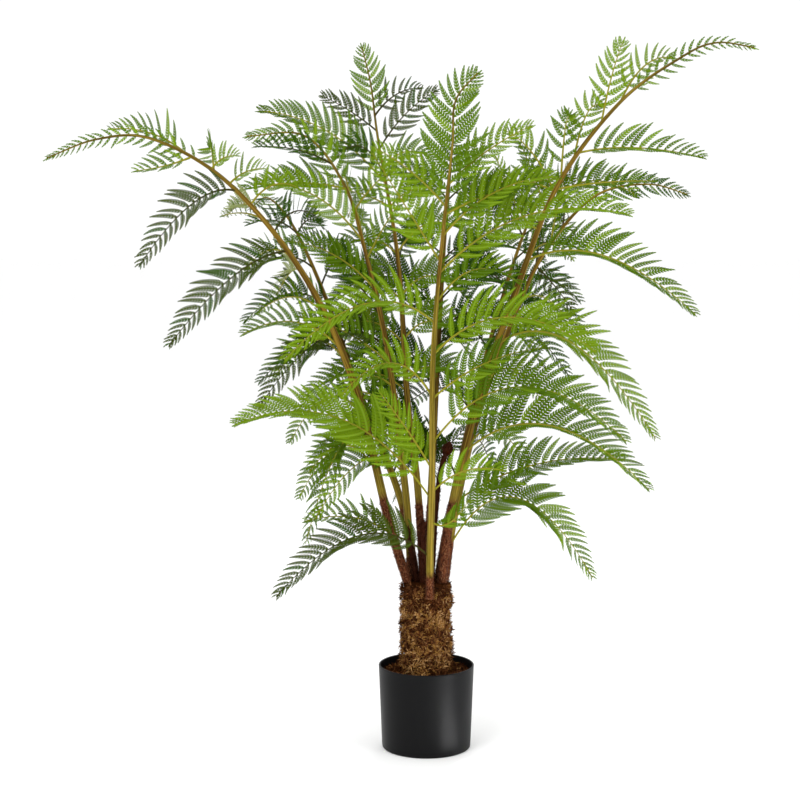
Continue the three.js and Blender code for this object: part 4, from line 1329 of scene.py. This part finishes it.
class FERN_OT_shoots(bpy.types.Operator):
    """Furled shoots: dark furred stems that end in a round knob"""

    bl_idname = "fern.shoots"
    bl_label = "Furled shoots"

    def execute(self, context):
        settings = context.scene.fern_stalk
        skin = moss_material("shoot_skin", settings.dark, settings.shoot)
        furred = shader("shoot_fur", roughness=0.85, colour=settings.shoot)[0]
        share = np.linspace(0, 1, SHOOT_RINGS)
        angle = whole_turn(SHOOT_SIDES)
        for index, shoot in enumerate(SHOOTS):
            seed = SEEDS["shoot_skin"] + index
            climb = share[:, None] * SHOOT_WAVES
            relief = SHOOT_ROUGH * wavy(angle[None, :], climb, seed, waves=30, finest=6)
            points, faces = stem_tube(shoot["line"], share, shoot_radius(shoot, share)[:, None] + relief)
            seed = SEEDS["shoot_fur"] + index
            hairs = fur(shoot, shoot_radius, SHOOT_FURRED, SHOOT_HAIRS, SHOOT_HAIR_LENGTH, seed)
            make_piece(
                shoot["name"] + "_furred", [(points, faces, (0, 0)), (*fibres(*hairs), (1, 1))],
                [skin, furred], [shoot["name"]],
            )
        return {"FINISHED"}


class FERN_OT_stalks(bpy.types.Operator):
    """Stalks: tapering tubes with five shallow grooves and a furred foot, one to a frond"""

    bl_idname = "fern.stalks"
    bl_label = "Stalks"

    def execute(self, context):
        settings = context.scene.fern_stalk
        hair_tones = (("fur_dark", settings.dark), ("fur", settings.foot), ("fur_light", settings.fur))
        hair_finishes = [
            shader(name, roughness=0.9, colour=colour, gloss=0.02)[0] for name, colour in hair_tones
        ]
        share = np.linspace(0, 1, STALK_RINGS)
        angle = whole_turn(STALK_SIDES)
        grooves = 1 + GROOVE_DEPTH * np.cos(GROOVES * angle) + UNEVEN * np.cos(3 * angle + 1)
        for index, frond in enumerate(FRONDS):
            name = "stalk_" + frond["name"]
            length = frond["line"][1][-1]
            bands = STALK_BANDS.get(frond["name"], OTHER_BANDS)
            radii = stalk_radius(frond, share)[:, None] * grooves[None, :]
            points, faces = stem_tube(frond["line"], share, radii)
            count = int(FOOT_HAIRS * bands[0] * length)
            seed = SEEDS["stalk_fur"] + index
            hairs = fibres(*fur(frond, stalk_radius, (0.0, bands[0]), count, FOOT_HAIR_LENGTH, seed))
            tones = np.random.default_rng(SEEDS["hair_tones"] + index).choice(HAIR_TONES, count)
            places = (radii * np.cos(angle), radii * np.sin(angle), (share * length)[:, None])
            straight = np.stack(np.broadcast_arrays(*places), axis=-1).reshape(-1, 3) * MM
            straight = np.vstack([straight, np.zeros((len(hairs[0]), 3))])
            shares = np.concatenate([np.repeat(share, len(angle)), np.zeros(len(hairs[0]))])
            make_piece(
                name, [(points, faces, (0, 0)), (*hairs, (np.repeat(tones, 2), tones))],
                [stalk_material(name, settings, bands), *hair_finishes], frond_nodes(frond, SPANS),
                straight=straight, share=shares,
            )
        return {"FINISHED"}


class FERN_OT_leaflets(bpy.types.Operator):
    """Leaflets: comb-toothed leaflets in two rows along every branch, with the branch's rib"""

    bl_idname = "fern.leaflets"
    bl_label = "Leaflets"

    def execute(self, context):
        settings = context.scene.fern_leaf
        stalk = context.scene.fern_stalk
        greens = leaf_materials(settings)
        light_rib = shader("light_rib", roughness=0.45, colour=stalk.rib)[0]
        dark_rib = shader("dark_rib", roughness=0.5, colour=stalk.dark_rib)[0]
        for index, frond in enumerate(FRONDS):
            rng = np.random.default_rng(SEEDS["leaflets"] + index)
            nodes = frond_nodes(frond, SPANS[1:])
            sides = side_blades(frond)
            rows = [leaflet_rows(blade, settings, rng) for blade in (*sides, end_blade(frond))]
            joined = {key: np.concatenate([row[key] for row in rows]) for key in rows[0]}
            parts = leaflets(joined, settings.tooth_pitch / MM)
            make_piece("leaflets_" + frond["name"], parts, greens, nodes)
            # Branches with the deep or olive greens get the darker rib, painted shade like their leaflets
            ribs = [(*rib(blade), (int(blade["green"] in (SHADED_DEEP, SHADED_OLIVE)),) * 2) for blade in sides]
            make_piece("ribs_" + frond["name"], ribs, [light_rib, dark_rib], nodes)
        return {"FINISHED"}


class FERN_OT_stage(bpy.types.Operator):
    """Stage: a pale floor, soft lights and the camera"""

    bl_idname = "fern.stage"
    bl_label = "Stage"

    def execute(self, context):
        settings = context.scene.fern_stage
        mesh = bpy.data.meshes.new("floor")
        corners = [(x * FLOOR_REACH, y * FLOOR_REACH, 0) for x, y in ((-1, -1), (1, -1), (1, 1), (-1, 1))]
        mesh.from_pydata(corners, [], [(0, 1, 2, 3)])
        mesh.materials.append(shader("floor", roughness=0.9, colour=settings.floor)[0])
        floor = stage_object("floor", mesh, (0, 0, 0))
        world = bpy.data.worlds.new("sky")
        world.use_nodes = True
        background = world.node_tree.nodes["Background"]
        background.inputs["Color"].default_value = (1, 1, 1, 1)
        background.inputs["Strength"].default_value = settings.sky
        context.scene.world = world
        for name, place, width, power in LAMPS:
            turn = (Vector(LAMP_AIM) - Vector(place)).to_track_quat("-Z", "Y").to_euler()
            stage_object(name, area_lamp(name, "DISK", width, getattr(settings, power)), place, turn)
        # The pot's wall mirrors the strip of floor under this lamp as a soft upright band
        strip = area_lamp("strip", "RECTANGLE", STRIP_WIDTH, settings.strip)
        strip.size_y = STRIP_DEPTH
        strip.spread = STRIP_SPREAD
        stage_object("strip", strip, STRIP_PLACE, (0, 0, STRIP_TURN))
        camera_data = bpy.data.cameras.new("camera")
        camera_data.lens = settings.lens
        camera_data.sensor_width = SENSOR_WIDTH
        tilt = (math.pi / 2 - settings.pitch, 0, 0)
        context.scene.camera = stage_object("camera", camera_data, CAMERA_PLACE, tilt)
        context.scene.view_settings.view_transform = "Standard"
        return {"FINISHED"}


SETTINGS = {
    "fern_pot": PotSettings,
    "fern_moss": MossSettings,
    "fern_stalk": StalkSettings,
    "fern_leaf": LeafSettings,
    "fern_stage": StageSettings,
}
OPERATORS = (
    FERN_OT_pot, FERN_OT_fill, FERN_OT_trunk, FERN_OT_shoots, FERN_OT_stalks, FERN_OT_leaflets,
    FERN_OT_stage,
)


class FERN_PT_panel(bpy.types.Panel):
    """Lists the pieces and their settings"""

    bl_idname = "FERN_PT_panel"
    bl_label = "Potted tree fern"
    bl_space_type = "VIEW_3D"
    bl_region_type = "UI"
    bl_category = "Tree fern"

    def draw(self, context):
        for operator in OPERATORS:
            self.layout.operator(operator.bl_idname)
        for name, group in SETTINGS.items():
            box = self.layout.box()
            for setting in group.__annotations__:
                box.prop(getattr(context.scene, name), setting)


def register():
    for cls in (*SETTINGS.values(), *OPERATORS, FERN_PT_panel):
        bpy.utils.register_class(cls)
    for name, group in SETTINGS.items():
        setattr(bpy.types.Scene, name, bpy.props.PointerProperty(type=group))


def unregister():
    for name in SETTINGS:
        delattr(bpy.types.Scene, name)
    for cls in reversed((*SETTINGS.values(), *OPERATORS, FERN_PT_panel)):
        bpy.utils.unregister_class(cls)


def main():
    """Registers the add-on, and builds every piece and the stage."""
    register()
    for operator in OPERATORS:
        section, name = operator.bl_idname.split(".")
        getattr(getattr(bpy.ops, section), name)()


if __name__ == "__main__":
    main()
